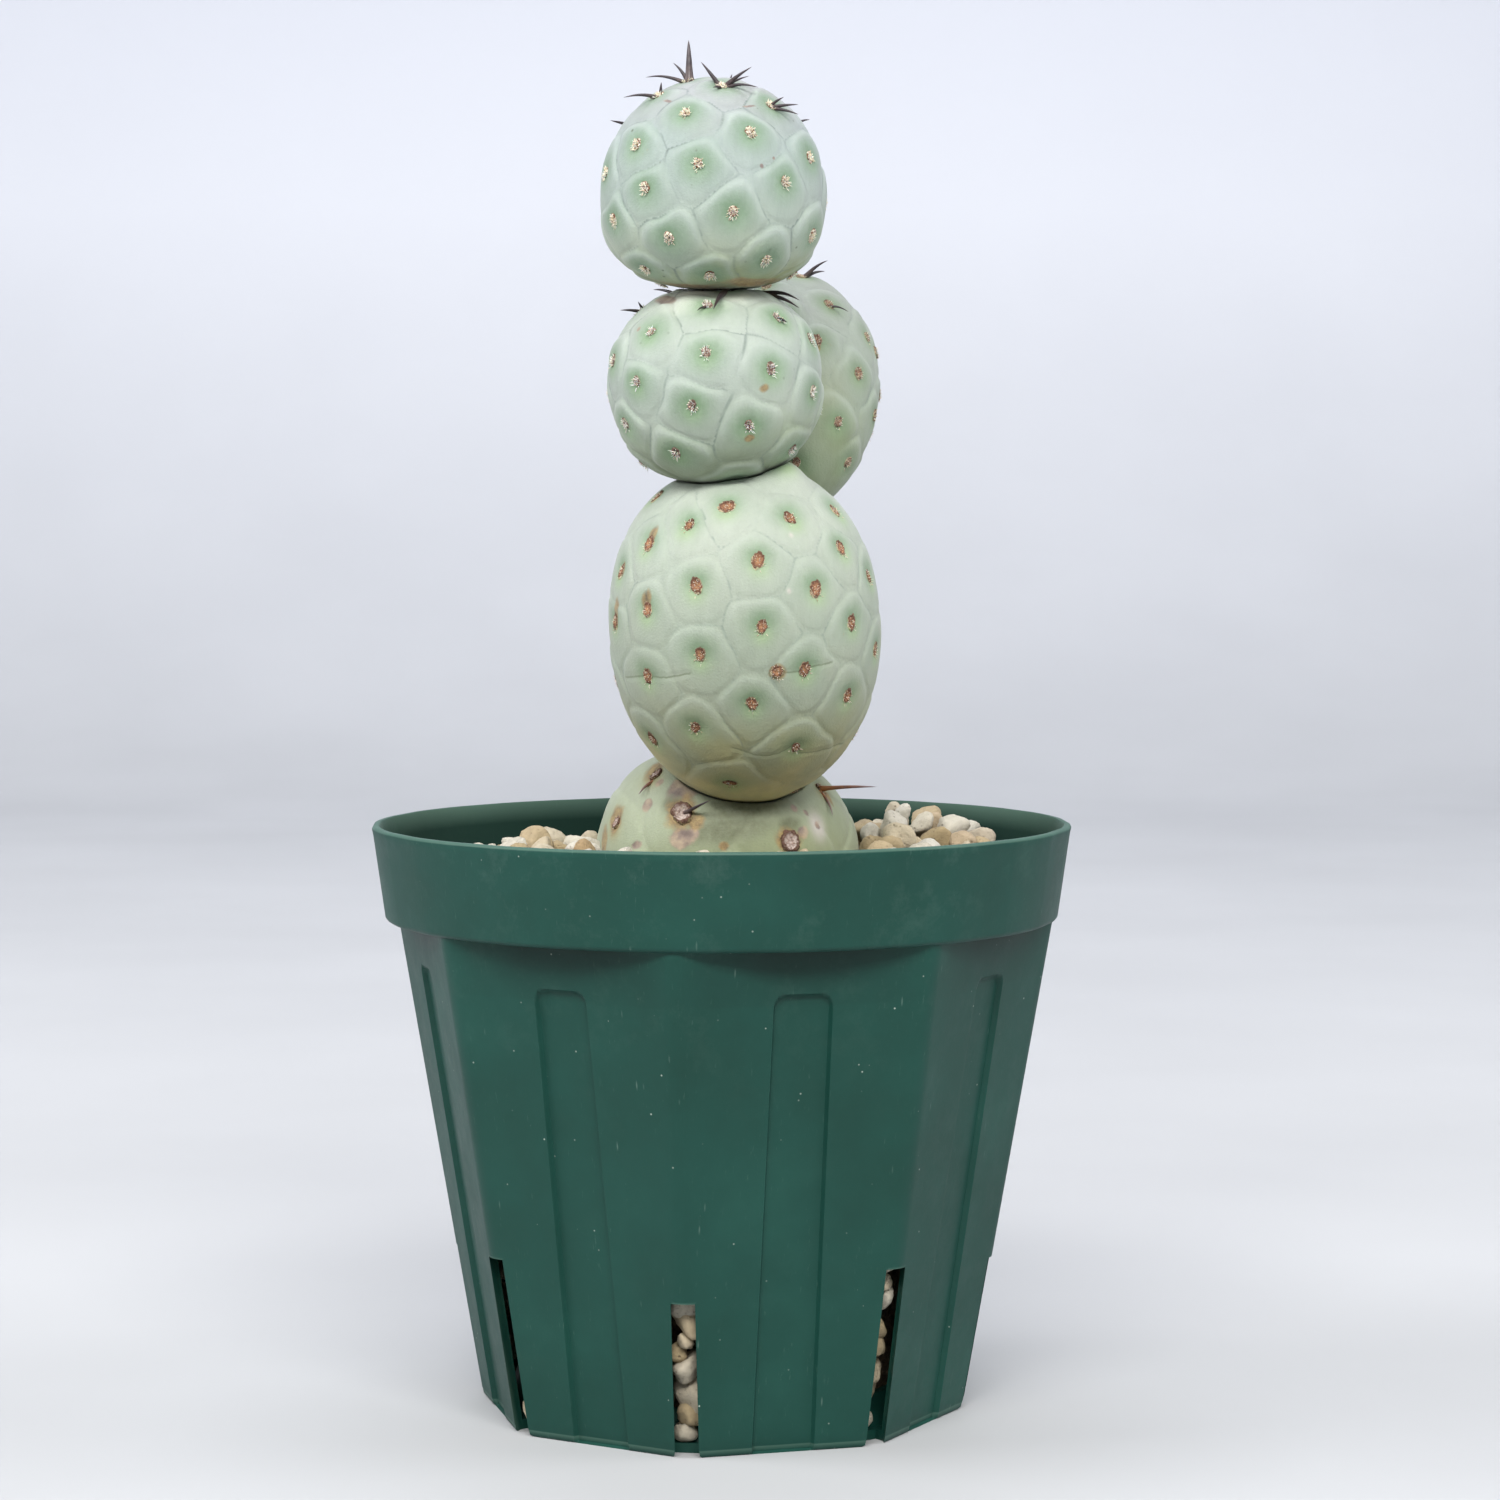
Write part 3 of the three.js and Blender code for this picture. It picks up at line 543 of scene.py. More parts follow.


# Looks of the skins: colours from foot to crown, then those of the layers and how strong each is.
# The colours from foot to crown are partly the skin's own and partly painted light and shade: the
# middle segment's crown near white where the top one shades it, the lower segment's foot pale
# where it sits in shade, the top segment's crown darker where the light falls full on it.
LOOKS = {
    "segment_top": dict(
        body=(
            (0.0, "#5e4e18"), (0.08, "#7c7236"), (0.15, "#8b935f"), (0.25, "#aab59f"), (0.38, "#9fab9f"),
            (0.55, "#9faba6"), (0.75, "#97a3a1"), (1.0, "#a09da3"),
        ),
        thin="#8d9c90", halo="#6d8a6c", halo_share=1.0, ring="#84a07c", ring_share=0.2, foot_shade=0.92,
        crest="#b2bcb8", crest_share=0.35, seam_shade="#66746f", seam_share=1.0, dots_share=0.9, roughness=0.56,
    ),
    "segment_middle": dict(
        body=(
            (0.0, "#606a42"), (0.15, "#848f74"), (0.25, "#98a58c"), (0.38, "#a5afa1"), (0.6, "#a5afa7"),
            (0.88, "#a8b1a6"), (0.95, "#d6dacd"), (1.0, "#eceee2"),
        ),
        thin="#8d9b8d", halo="#6b8a66", halo_share=1.0, ring="#84a274", ring_share=0.35, foot_shade=0.92,
        crest="#afb9b1", crest_share=0.35, seam_shade="#65746c", seam_share=0.75, dots_share=0.3, roughness=0.56,
    ),
    "segment_lower": dict(
        body=(
            (0.0, "#d8d29a"), (0.08, "#c0bb8a"), (0.2, "#a3a67f"), (0.28, "#9ea68a"), (0.4, "#9fa793"),
            (0.6, "#9fa998"), (0.8, "#a3ac9e"), (1.0, "#a8afa4"),
        ),
        thin="#8f9f8d", halo="#6c8a66", halo_share=0.9, ring="#92ae78", ring_share=0.5, foot_shade=1.0,
        crest="#abb5aa", crest_share=0.25, seam_shade="#708078", seam_share=0.55, dots_share=0.15, roughness=0.58,
    ),
    "segment_base": dict(
        body=((0.0, "#7c7c58"), (0.5, "#868f70"), (0.62, "#98a28a"), (0.75, "#9fa892"), (1.0, "#a0a893")),
        thin="#8b9374", halo="#8f9563", halo_share=0.35, ring="#8c7d4d", ring_share=0.6, foot_shade=0.9,
        crest="#a8b196", crest_share=0.2, seam_shade="#7c8061", seam_share=0.2, dots_share=0.8, roughness=0.62,
    ),
    "segment_rear": dict(
        body=(
            (0.0, "#76825f"), (0.15, "#8a937d"), (0.25, "#909a89"), (0.45, "#959e93"), (0.65, "#9ba19a"),
            (1.0, "#8b918a"),
        ),
        thin="#8c9b88", halo="#6c8462", halo_share=0.95, ring="#849d6e", ring_share=0.3, foot_shade=1.0,
        crest="#aeb8ac", crest_share=0.3, seam_shade="#68776e", seam_share=0.6, dots_share=0.3, roughness=0.56,
    ),
}

# Marks on the skin by kind: pixel, half width and half height
MARKS = {
    "segment_lower": dict(
        cork=(
            ((777, 672), 1.5, 1.4), ((652, 536), 0.9, 2.2), ((646, 600), 1.1, 2.4), ((616, 612), 1.1, 3.2),
            ((622, 570), 0.8, 1.6),
        ),
        chalk=(((789, 591), 0.32, 0.4), ((791, 535), 0.32, 0.4)),
    ),
    "segment_base": dict(
        bruise=(
            ((686, 788), 3.6, 2.4), ((661, 784), 0.8, 0.8), ((682, 838), 1.9, 1.8), ((692, 834), 1.2, 1.0),
            ((648, 805), 1.1, 1.1), ((606, 813), 0.5, 0.8), ((636, 845), 1.2, 0.7), ((793, 809), 0.7, 0.8),
            ((806, 813), 0.6, 0.7), ((801, 832), 1.0, 1.0), ((817, 826.5), 0.7, 0.8),
        ),
        chalk=(((817, 826), 1.8, 2.4),),
        cork=(
            ((817, 826.5), 0.35, 0.4), ((682, 813), 2.6, 3.3), ((696, 822), 1.6, 1.4), ((789, 840), 2.3, 2.4),
            ((619, 819), 2.2, 2.8), ((606, 840), 1.5, 3.2), ((656, 775), 1.8, 3.0), ((648, 782), 1.0, 2.0),
            ((828, 797), 0.5, 2.2), ((724, 846), 0.9, 0.8),
        ),
        # these marks are painted shadow, cast on the base where the lower segment overhangs it
        stain=(
            ((672, 804), 1.6, 1.8), ((788, 824), 2.2, 1.4), ((748, 809), 9.0, 2.6), ((735, 803), 5.0, 2.2),
            ((730, 828), 8.0, 2.4),
        ),
    ),
    "segment_middle": dict(
        cork=(((764, 388), 0.9, 0.7), ((749, 438), 0.95, 0.7)),
        bruise=(((666, 300), 2.4, 1.3), ((640, 330), 0.5, 0.5)),
    ),
    "segment_top": dict(
        cork=(((750, 283), 5.5, 1.7), ((688, 286), 5.0, 1.2), ((718, 289), 4.5, 1.0)),
        bruise=(
            ((668, 101), 0.8, 0.3), ((750, 106), 1.2, 0.25), ((762, 166), 0.4, 0.4), ((774, 158), 0.3, 0.3),
        ),
    ),
    "segment_rear": dict(cork=(((817, 347), 0.8, 0.8),)),
}
MARK_KINDS = ("cork", "bruise", "stain", "chalk")
# How strong a mark is at its middle, and how fast it falls off round its edge
MARK_STRENGTH, MARK_FALL = 0.8, 0.7

# Folds where the skin has shrunk: pixels along each one
FOLDS = {
    "segment_lower": (
        ((628, 677), (642, 676), (671, 677), (686, 674)), ((783, 672), (799, 672)), ((809, 667), (828, 663)),
        ((737, 749), (751, 754), (766, 755), (778, 753), (789, 748)), ((803, 753), (823, 749), (840, 744)),
    ),
}
# Distance that counts as far from any fold, and where a fold's nearness begins to end and ends
FOLD_FAR, FOLD_EDGE = 9.0, (0.5, 1.4)


def fold_cues(name, points):
    """Signed distance from the nearest fold of the skin, and how near to it a point lies."""
    side, nearest = np.full(len(points), FOLD_FAR), np.full(len(points), FOLD_FAR)
    for fold in FOLDS.get(name, ()):
        path = np.array([on_skin(SEGMENTS[name], pixel) for pixel in fold])
        for start, end in zip(path[:-1], path[1:]):
            length = np.linalg.norm(end - start)
            heading = (end - start) / length
            across = unit(np.cross(unit(start), heading))
            share = np.clip((points - start) @ heading / length, 0, 1)
            offset = points - start - np.outer(share * length, heading)
            away = np.linalg.norm(offset, axis=1)
            closer = away < nearest
            side[closer], nearest[closer] = (offset @ across)[closer], away[closer]
    return dict(fold_side=side, fold_near=1 - smoothstep(nearest, *FOLD_EDGE))


def mark_shares(name, points):
    """How much of each kind of mark lies at points of the segment."""
    shares = {kind: np.zeros(len(points)) for kind in MARK_KINDS}
    for kind, marks in MARKS[name].items():
        for pixel, half_width, half_height in marks:
            middle = on_skin(SEGMENTS[name], pixel)[None]
            offset = points - middle
            along = offset @ up_slope(middle)[0]
            aside = np.sqrt(np.maximum((offset**2).sum(1) - along**2, 0))
            reach = (aside / half_width) ** 2 + (along / half_height) ** 2
            shares[kind] = np.maximum(shares[kind], MARK_STRENGTH * np.exp(-(reach**1.5) * MARK_FALL))
    return shares


# How much of the mesh's spacing a corner may move to reach a border, and how often that is done
SNAP, SNAP_ROUNDS = 0.3, 2


def make_skin(name):
    """A segment's skin with its tubercles, dented where the segment above presses on it."""
    segment = SEGMENTS[name]
    directions, faces = ball(segment["level"])
    spacing = 1.1 * segment["girth"] / segment["level"]
    for _ in range(SNAP_ROUNDS):
        # corners of the mesh that lie near a cell border move onto it, so that the creases are crisp
        points = directions * smooth_reach(segment, directions)[:, None]
        _, borders, apart = cell_borders(segment, points)
        first = borders.argmin(1)[:, None]
        step = np.take_along_axis(borders, first, 1)
        toward = np.take_along_axis(apart, first[..., None], 1)[:, 0]
        directions = unit(points + toward * step * (step < SNAP * spacing))
    reach, cues = skin_reach(segment, directions)
    local = directions * reach[:, None]
    cues |= mark_shares(name, local) | fold_cues(name, local)
    world = to_world(segment, local)
    for other in segment["pressed_by"]:
        presser = SEGMENTS[other]
        seen = to_local(presser, world)
        heading = unit(seen)
        clear = skin_reach(presser, heading)[0] + TOUCH_GAP
        inside = np.linalg.norm(seen, axis=1) < clear
        world[inside] = to_world(presser, heading[inside] * clear[inside][:, None])
    material = waxy_skin("waxy_skin_of_" + name, LOOKS[name])
    mesh_piece(name + "_skin", (world, faces, cues), material, name)


# Areoles: half width, half height and height of the felt pad, then count, length and radius of
# the wool, and the angle from upright at which it spreads. special: pads of their own size.
AREOLES = {
    "segment_top": dict(pad=(0.85, 1.05, 0.35), wool=(64, 0.5, 0.085, 55)),
    "segment_middle": dict(pad=(0.8, 1.1, 0.3), wool=(34, 0.6, 0.075, 60)),
    "segment_lower": dict(
        pad=(1.05, 1.45, 0.25), wool=(26, 0.42, 0.06, 75),
        special={
            2: (1.7, 1.35), 4: (1.0, 1.8), 5: (1.3, 1.6), 10: (1.25, 1.75), 17: (0.9, 1.7), 49: (1.3, 0.7),
            100: (1.3, 1.1),
        },
    ),
    "segment_base": dict(
        pad=(1.3, 1.6, 0.5), wool=(20, 0.5, 0.07, 80),
        special={9: (2.1, 2.7), 12: (1.75, 1.9), 6: (1.2, 1.5), 7: (0.8, 0.9), 1: (0.9, 1.5)},
    ),
    "segment_rear": dict(pad=(0.9, 1.2, 0.35), wool=(26, 0.5, 0.065, 60)),
}
PAD_RINGS, PAD_SIDES, PAD_TILT, PAD_CRUMBLE = 8, 24, 0.35, 0.07
WOOL_SAG, WOOL_CURL = 0.35, 0.25
# An areole nearer than this to a neighbour's skin is covered
COVER_GAP = 1.2


def areole_frames(name):
    """Number, place and axes (right, up, out) of each areole or scar that no neighbour covers."""
    segment = SEGMENTS[name]
    turn = turn_of(segment)
    scars = segment.get("scars", {})
    local = np.array([*areole_places(segment), *(on_skin(segment, pixel) for pixel in scars.values())])
    numbers = [*range(len(local) - len(scars)), *scars]
    reach = skin_reach(segment, unit(local))[0]
    skin = unit(local) * reach[:, None]
    dropped = {number for number, pixel in segment["seen"].items() if pixel is None}
    out = outward(segment, local)
    uphill = unit(up_slope(local) - (up_slope(local) * out).sum(1)[:, None] * out)
    world = to_world(segment, skin)
    frames = []
    for i, (number, point) in enumerate(zip(numbers, world)):
        covered = False
        for other in SEGMENTS.values():
            if other is segment:
                continue
            seen = to_local(other, point[None])
            covered |= np.linalg.norm(seen) < smooth_reach(other, unit(seen))[0] + COVER_GAP
        if not covered and number not in dropped:
            up, normal = turn @ uphill[i], turn @ out[i]
            frames.append((number, point, np.cross(up, normal), up, normal))
    return frames


def felt_pad(frame_of, pad, special, draw):
    """A small oval cushion of felt that lines its dimple, sunk at its rim."""
    number, place, right, up, out = frame_of
    half_width, half_height = special.get(number, pad[:2])
    size, tilt = draw.uniform(0.85, 1.15), draw.normal() * PAD_TILT
    right, up = right * math.cos(tilt) + up * math.sin(tilt), up * math.cos(tilt) - right * math.sin(tilt)
    points, across, upper = [], [], []
    for ring in range(PAD_RINGS + 1):
        share = 1 - ring / PAD_RINGS
        for side in range(PAD_SIDES if share else 1):
            angle = 2 * math.pi * side / PAD_SIDES
            wobble = 1 + draw.uniform(-0.13, 0.13)
            x = half_width * size * share * wobble * math.cos(angle)
            y = half_height * size * share * wobble * math.sin(angle)
            crust = math.exp(-(((share - 0.8) / 0.16) ** 2))
            z = pad[2] * (0.55 * (1 - share**4) + 0.45 * crust) - 0.3 * share**9
            z += draw.uniform(-PAD_CRUMBLE, PAD_CRUMBLE) * (share < 0.95)
            z += DIMPLE_DEPTH * (1 - math.exp(-(x * x + y * y) / DIMPLE_WIDTH**2))
            points.append(place + right * x + up * y + out * z)
            across.append(share)
            upper.append(share * math.sin(angle))
    tone = np.full(len(points), draw.uniform())
    cues = dict(across=np.array(across), upper=np.array(upper), tone=tone)
    return np.array(points), tube(PAD_RINGS, PAD_SIDES, tip=True), cues


def taper(path, radii, sides, draw):
    """A round tapering rod along a path, with how far along it each point is and the rod's own tone."""
    path = np.asarray(path)
    count = len(path) - 1
    heading = unit(np.gradient(path, axis=0))
    across = unit(np.cross(heading, heading[0][[1, 2, 0]] + 0.3))[:-1, None]
    other = np.cross(heading[:-1], across[:, 0])[:, None]
    angles = 2 * math.pi * np.arange(sides)[None, :, None] / sides
    rings = path[:-1, None] + radii[:-1, None, None] * (across * np.cos(angles) + other * np.sin(angles))
    points = np.concatenate([rings.reshape(-1, 3), path[-1:]])
    faces = tube(count, sides, tip=True) + [tuple(range(sides - 1, -1, -1))]
    along = np.concatenate([np.repeat(np.arange(count) / count, sides), [1.0]])
    return points, faces, dict(along=along, tone=np.full(len(points), draw.uniform()))


def wool_tuft(frame_of, pad, wool, draw):
    """Short curled fibres that spread from the edge of the felt."""
    _, place, right, up, out = frame_of
    count, length, radius, spread = wool
    steps = np.linspace(0, 1, 4)[:, None]
    fibres = []
    for _ in range(count):
        angle, share = draw.uniform(0, 2 * math.pi), draw.uniform(0.15, 1.0)
        side = right * math.cos(angle) + up * math.sin(angle)
        foot = place + share * (right * pad[0] * math.cos(angle) + up * pad[1] * (math.sin(angle) - WOOL_SAG))
        foot = foot + out * pad[2] * 0.6
        lean = math.radians(spread) * share * draw.uniform(0.7, 1.2)
        heading = out * math.cos(lean) + side * math.sin(lean)
        curl = unit(draw.normal(size=3)) * WOOL_CURL
        reach = length * draw.uniform(0.6, 1.2)
        path = foot + reach * (heading * steps + curl * steps**2)
        fibres.append(taper(path, radius * np.array([1, 0.9, 0.6, 0.1]), 3, draw))
    return join(fibres)


# Spines: number of the areole, the tip's place to the right, away and up from it, and the foot's radius
SPINES = {
    "segment_base": (
        (7, 10, -2.5, 0.2, 0.45), (7, 2.3, -4, -4.8, 0.38), (9, 5, -5, 2.6, 0.4), (1, -3.3, -4.2, -2.8, 0.45),
    ),
    "segment_lower": (),
    "segment_middle": (
        (3, -3.6, -1.5, -0.2, 0.35), (3, -0.6, -1.2, 1.3, 0.35), (0, -2.1, -12.3, -4.1, 0.65),
        (4, -1.8, -2.9, -1.1, 0.3), (5, 6.2, -4.5, -1.8, 0.5), (5, 6.1, -5, -3.1, 0.5),
        (9, 1.7, -1.4, -1, 0.4), (2, -4.5, 4, 0.8, 0.4), (1, 1.5, 3, 1.4, 0.4),
    ),
    "segment_top": (
        (2, -5.9, -1.5, -0.6, 0.4), (2, 0.4, -0.8, 2, 0.4), (7, -3.6, -2, 0.4, 0.4), (0, -3.5, 0.5, 4, 0.48),
        (0, 4.9, -1, 3, 0.48), (0, 4.5, 1.5, 1.8, 0.38), (0, 6, -1.5, -0.4, 0.4), (0, -1.5, -3.2, -0.6, 0.38),
        (1, 0, 0.8, 6.8, 0.75), (1, -7.2, 0.5, 0.6, 0.38), (1, -2.6, 1, 3.1, 0.42), (4, 1, 2.5, 4, 0.5),
        (4, 4.2, 3, 1, 0.4), (3, 2.3, -1, 1.2, 0.35), (3, 4.7, -0.8, 0, 0.4), (3, 4.7, -1.4, -1.7, 0.4),
        (6, 2.4, 2, 0.8, 0.35), (9, -3.6, 3.6, 0.6, 0.4), (9, -0.5, 4.6, 1.6, 0.4), (12, 1, 4.8, 0.4, 0.4),
    ),
    "segment_rear": (
        (0, 4.7, -1.2, 2.9, 0.45), (0, 4.3, 0.5, 1.1, 0.45), (0, -1.4, 0, 0.8, 0.3), (2, -3, -1.5, 3, 0.4),
        (1, 0.5, 4, 3.4, 0.45), (1, -2, 3.6, 2, 0.4), (5, 3.4, -3, -1.6, 0.28),
    ),
}
# Areoles whose spines are dry and tan, not dark
DRY_SPINES = {"segment_base": (7, 1)}
SPINE_ARCH, SPINE_BEND, SPINE_FOOT, SPINE_SIDES = 0.08, 0.035, 0.6, 10


def spine_rods(name, draw):
    """Awl-shaped spines by kind, each with a swollen foot, arched a little away from the skin."""
    segment = SEGMENTS[name]
    places = to_world(segment, areole_places(segment))
    steps = np.linspace(0, 1, 13)
    rods = {"dark": [], "dry": []}
    for number, *tip, radius in SPINES[name]:
        tip = np.array(tip, float)
        inwards = unit(np.array(segment["centre"]) - places[number])
        bend = (unit(draw.normal(size=3)) * SPINE_BEND - inwards * SPINE_ARCH) * np.linalg.norm(tip)
        foot = places[number] + inwards * SPINE_FOOT
        path = foot + np.outer(steps, tip - inwards * SPINE_FOOT) + np.outer(np.sin(math.pi * steps), bend)
        radii = radius * (1 - steps) ** 0.75 * (1 + 0.35 * np.exp(-((steps / 0.12) ** 2)))
        kind = "dry" if number in DRY_SPINES.get(name, ()) else "dark"
        rods[kind].append(taper(path, radii, SPINE_SIDES, draw))
    return rods


# Places of a pad's five colours, from its middle to its rim
FELT_BANDS = (0.0, 0.55, 0.74, 0.88, 1.0)


def felt(name, *codes, fleck, fleck_share):
    """Matted plant felt: short dead hairs that brown with age. It gives a dull, crumbly, speckled pad,
    painted darker on its upper side as shade from the dimple's rim.
    """
    pad = blank_material(name)
    where = add(pad, "TexCoord")
    crumb = add(pad, "TexNoise", {"Vector": where, "Scale": per(0.5), "Detail": 4})
    wander = add(pad, "MapRange", (crumb, 0.3, 0.7, -0.16, 0.16))
    across, upper = (add(pad, "Math", (cue, wander), operation="ADD") for cue in ("across", "upper"))
    colour = add(pad, "ValToRGB", (across,), stops=tuple(zip(FELT_BANDS, codes)))
    # painted shade: each pad's upper side darkens towards its third colour, shaded by the dimple's rim
    pad_top_shade = add(pad, "MapRange", (upper, 0.1, 0.85, 0.0, 0.8))
    colour = add(pad, "Mix", (pad_top_shade, colour, codes[2]))
    shade = add(pad, "MapRange", ("tone", 0.0, 1.0, 0.8, 1.1))
    colour = add(pad, "HueSaturation", {"Value": shade, "Color": colour})
    flecks = add(pad, "TexVoronoi", {"Vector": where, "Scale": per(0.5)})
    flecks = add(pad, "MapRange", (flecks, 0.4, 0.62, 0.0, fleck_share))
    colour = add(pad, "Mix", (flecks, colour, fleck))
    bump = add(pad, "Bump", {"Strength": 0.9, "Distance": 0.3 * MM, "Height": crumb})
    add(pad, "BsdfPrincipled", {"Base Color": colour, "Normal": bump, "Roughness": 0.95})
    return pad


def wool(name, pale, dark):
    """Areole wool: fine white to cream hairs that scatter light, so tufts look soft and bright."""
    hair = blank_material(name)
    colour = add(hair, "Mix", ("tone", dark, pale))
    finish = {"Roughness": 0.9, "Sheen Weight": 0.4, "Subsurface Weight": 0.2, "Subsurface Scale": 0.4 * MM}
    add(hair, "BsdfPrincipled", {"Base Color": colour, **finish})
    return hair


def horn(name, foot, middle, tip):
    """Spine wood: hard, dense fibre like horn, dark with a purple cast or dry and tan, with a low sheen."""
    spine = blank_material(name)
    where = add(spine, "TexCoord")
    streak = add(spine, "TexNoise", {"Vector": where, "Scale": per(0.9), "Detail": 4})
    wander = add(spine, "MapRange", (streak, 0.3, 0.7, -0.15, 0.15))
    place = add(spine, "Math", ("along", wander), operation="ADD")
    colour = add(spine, "ValToRGB", (place,), stops=((0.0, foot), (0.45, middle), (1.0, tip)))
    bump = add(spine, "Bump", {"Strength": 0.5, "Distance": 0.15 * MM, "Height": streak})
    add(spine, "BsdfPrincipled", {"Base Color": colour, "Normal": bump, "Roughness": 0.42, "IOR": 1.55})
    return spine


FELTS = {
    "segment_top": felt(
        "young_felt", "#e6e0d2", "#ece7dc", "#cfc4b0", "#efebe0", "#c3c6ae", fleck="#75543f", fleck_share=1.0
    ),
    "segment_middle": felt(
        "grown_felt", "#8a6f60", "#b39c8c", "#6f5649", "#d0c7b6", "#9fac8c", fleck="#563f36", fleck_share=0.7
    ),
    "segment_lower": felt(
        "old_felt", "#b58a64", "#a3775a", "#553628", "#cdbf9f", "#9aa877", fleck="#57362a", fleck_share=0.45
    ),
    "segment_base": felt(
        "corky_felt", "#b7a59c", "#c8b9b0", "#5f4436", "#4a3024", "#7d7350", fleck="#6a5044", fleck_share=0.5
    ),
    "segment_rear": felt(
        "rear_felt", "#9a7a63", "#b1957e", "#63493a", "#bfb096", "#93a278", fleck="#5c4236", fleck_share=0.55
    ),
}
WOOLS = {
    "segment_top": wool("cream_wool", "#f6f1e2", "#d3c09e"),
    "segment_middle": wool("white_wool", "#f6f5f0", "#d6cab8"),
    "segment_lower": wool("old_wool", "#f0e8d6", "#b79a78"),
    "segment_base": wool("grey_wool", "#b8a68a", "#6f5541"),
    "segment_rear": wool("dusty_wool", "#e0d8c4", "#b09a7e"),
}
HORNS = {
    "dark": horn("dark_horn", "#54433f", "#2a2127", "#3c2c31"),
    "dry": horn("dry_horn", "#a8703f", "#7d5648", "#8d8084"),
}


def dress_segment(name, seed):
    """A segment's skin, pads, wool and spines."""
    make_skin(name)
    draw = np.random.default_rng(seed)
    frames = areole_frames(name)
    pad, tuft, special = AREOLES[name]["pad"], AREOLES[name]["wool"], AREOLES[name].get("special", {})
    pads = join([felt_pad(f, pad, special, draw) for f in frames])
    mesh_piece(name + "_felt", pads, FELTS[name], name)
    tufts = join([wool_tuft(f, pad, tuft, draw) for f in frames])
    mesh_piece(name + "_wool", tufts, WOOLS[name], name)
    for kind, rods in spine_rods(name, draw).items():
        if rods:
            mesh_piece(f"{name}_{kind}_spines", join(rods), HORNS[kind], name)


for seed, name in enumerate(SEGMENTS):
    dress_segment(name, seed)


# Pot
def pot_corner(height, inset=0.0):
    """Radius of the pot's sharp corner at a height, moved inwards by an inset."""
    share = height / POT.band_height
    return POT.foot + (POT.shoulder - POT.foot) * share - inset / math.cos(HALF_FACET)


def wall_axes(corner):
    """Directions out of the pot and along its wall at a corner; a half is the middle of a facet."""
    angle = corner * FACET_ANGLE + POT.turn
    return np.array([math.sin(angle), -math.cos(angle), 0]), np.array([math.cos(angle), math.sin(angle), 0])


def slit_top(corner):
    """Height of a corner's slit: short and tall ones take turns."""
    return np.where(corner % 2 == 0, POT.slit_short, POT.slit_tall)


def outline_point(facet, kind, value, height, inset=0.0):
    """A point of the eight-sided outline, by its distance from a corner's plane or a facet's middle."""
    corner = pot_corner(height, inset)
    if kind != "corner":
        out, across = wall_axes(facet + 0.5)
        return (out * (corner * math.cos(HALF_FACET)) + across * value)[:2]
    centre = corner - POT.corner_round / math.cos(HALF_FACET)
    if abs(value) <= POT.corner_round * math.sin(HALF_FACET):
        radial = centre + math.sqrt(POT.corner_round**2 - value**2)
    else:
        radial = corner - abs(value) * math.tan(HALF_FACET)
    out, across = wall_axes(facet)
    return (out * radial + across * value)[:2]


# Steps of the wall's columns from a corner and from a panel's edge
CORNER_STEPS = (0.0, 0.7, 1.3, 1.75, 2.3, 3.4, 5.5)
PANEL_STEPS = (-2.6, -2.0, -1.4, -0.8, -0.38, -0.22, -0.08, 0.08, 0.22, 0.38, 0.9, 1.8)
# How wide the slope is that leads down into a panel
PANEL_SLOPE = 0.5


def panel_half_width(height):
    share = height / POT.panel_top
    return ((1 - share) * POT.panel_foot_width + share * POT.panel_top_width) / 2


def pot_columns():
    """Columns of the pot's wall: (facet, kind, where), closer together where the wall bends."""
    columns = []
    for facet in range(FACETS):
        columns += [(facet, "corner", step) for step in CORNER_STEPS]
        columns += [(facet, "left", -step) for step in reversed(PANEL_STEPS)]
        columns += [(facet, "middle", 0.0)]
        columns += [(facet, "right", step) for step in PANEL_STEPS]
        columns += [(facet + 1, "corner", -step) for step in reversed(CORNER_STEPS[1:])]
    return columns


def panel_depth(sideways, height):
    """How deep the sunk panel is at a place of its facet."""
    half, corner = panel_half_width(height), POT.panel_corner
    dx = abs(sideways) - (half - corner)
    dz = height - (POT.panel_top - corner)
    outside = math.hypot(max(dx, 0), max(dz, 0)) + min(max(dx, dz), 0) - corner
    share = min(max(0.5 - outside / PANEL_SLOPE, 0), 1)
    return POT.panel_depth * share * share * (3 - 2 * share)


def wall_ring(columns, height, inset=0.0, panels=False):
    """A ring of the eight-sided wall at a height, its panels sunk where that is wanted."""
    half = panel_half_width(height)
    edges = {"left": -half, "middle": 0.0, "right": half}
    ring = []
    for facet, kind, where in columns:
        if kind == "corner":
            flat = outline_point(facet, kind, where, height, inset)
        else:
            sideways = edges[kind] + where
            depth = panel_depth(sideways, height) if panels else 0.0
            flat = outline_point(facet, "facet", sideways, height, inset + depth)
        ring.append((*flat, height))
    return np.array(ring)


def round_ring(like, radius, height):
    """A round ring whose points lie at the same angles as those of another ring."""
    flat = unit(like[:, :2]) * radius
    return np.column_stack([flat, np.full(len(flat), height)])


# Heights of the wall's rings, close together at the slits' tops and at the panels' tops
WALL_HEIGHTS = (
    1.3, 3, 6, 10, 15, 20, 24, 26.7, 29, 30.8, 33, 38, 44, 50, 56, 62, 67, 71, 73.5,
    *np.arange(74.2, 78.0, 0.42), 79, 81, 83, POT.band_height,
)
INNER_HEIGHTS = (70, 50, 34, 24, 10, POT.foot_thickness)
BAND_ROUND, LIP_ROUND, LIP_INNER = 0.9, 0.5, 0.25
BAND_SLOPE = (POT.rim_radius - POT.band_radius) / (POT.rim_height - POT.band_height)


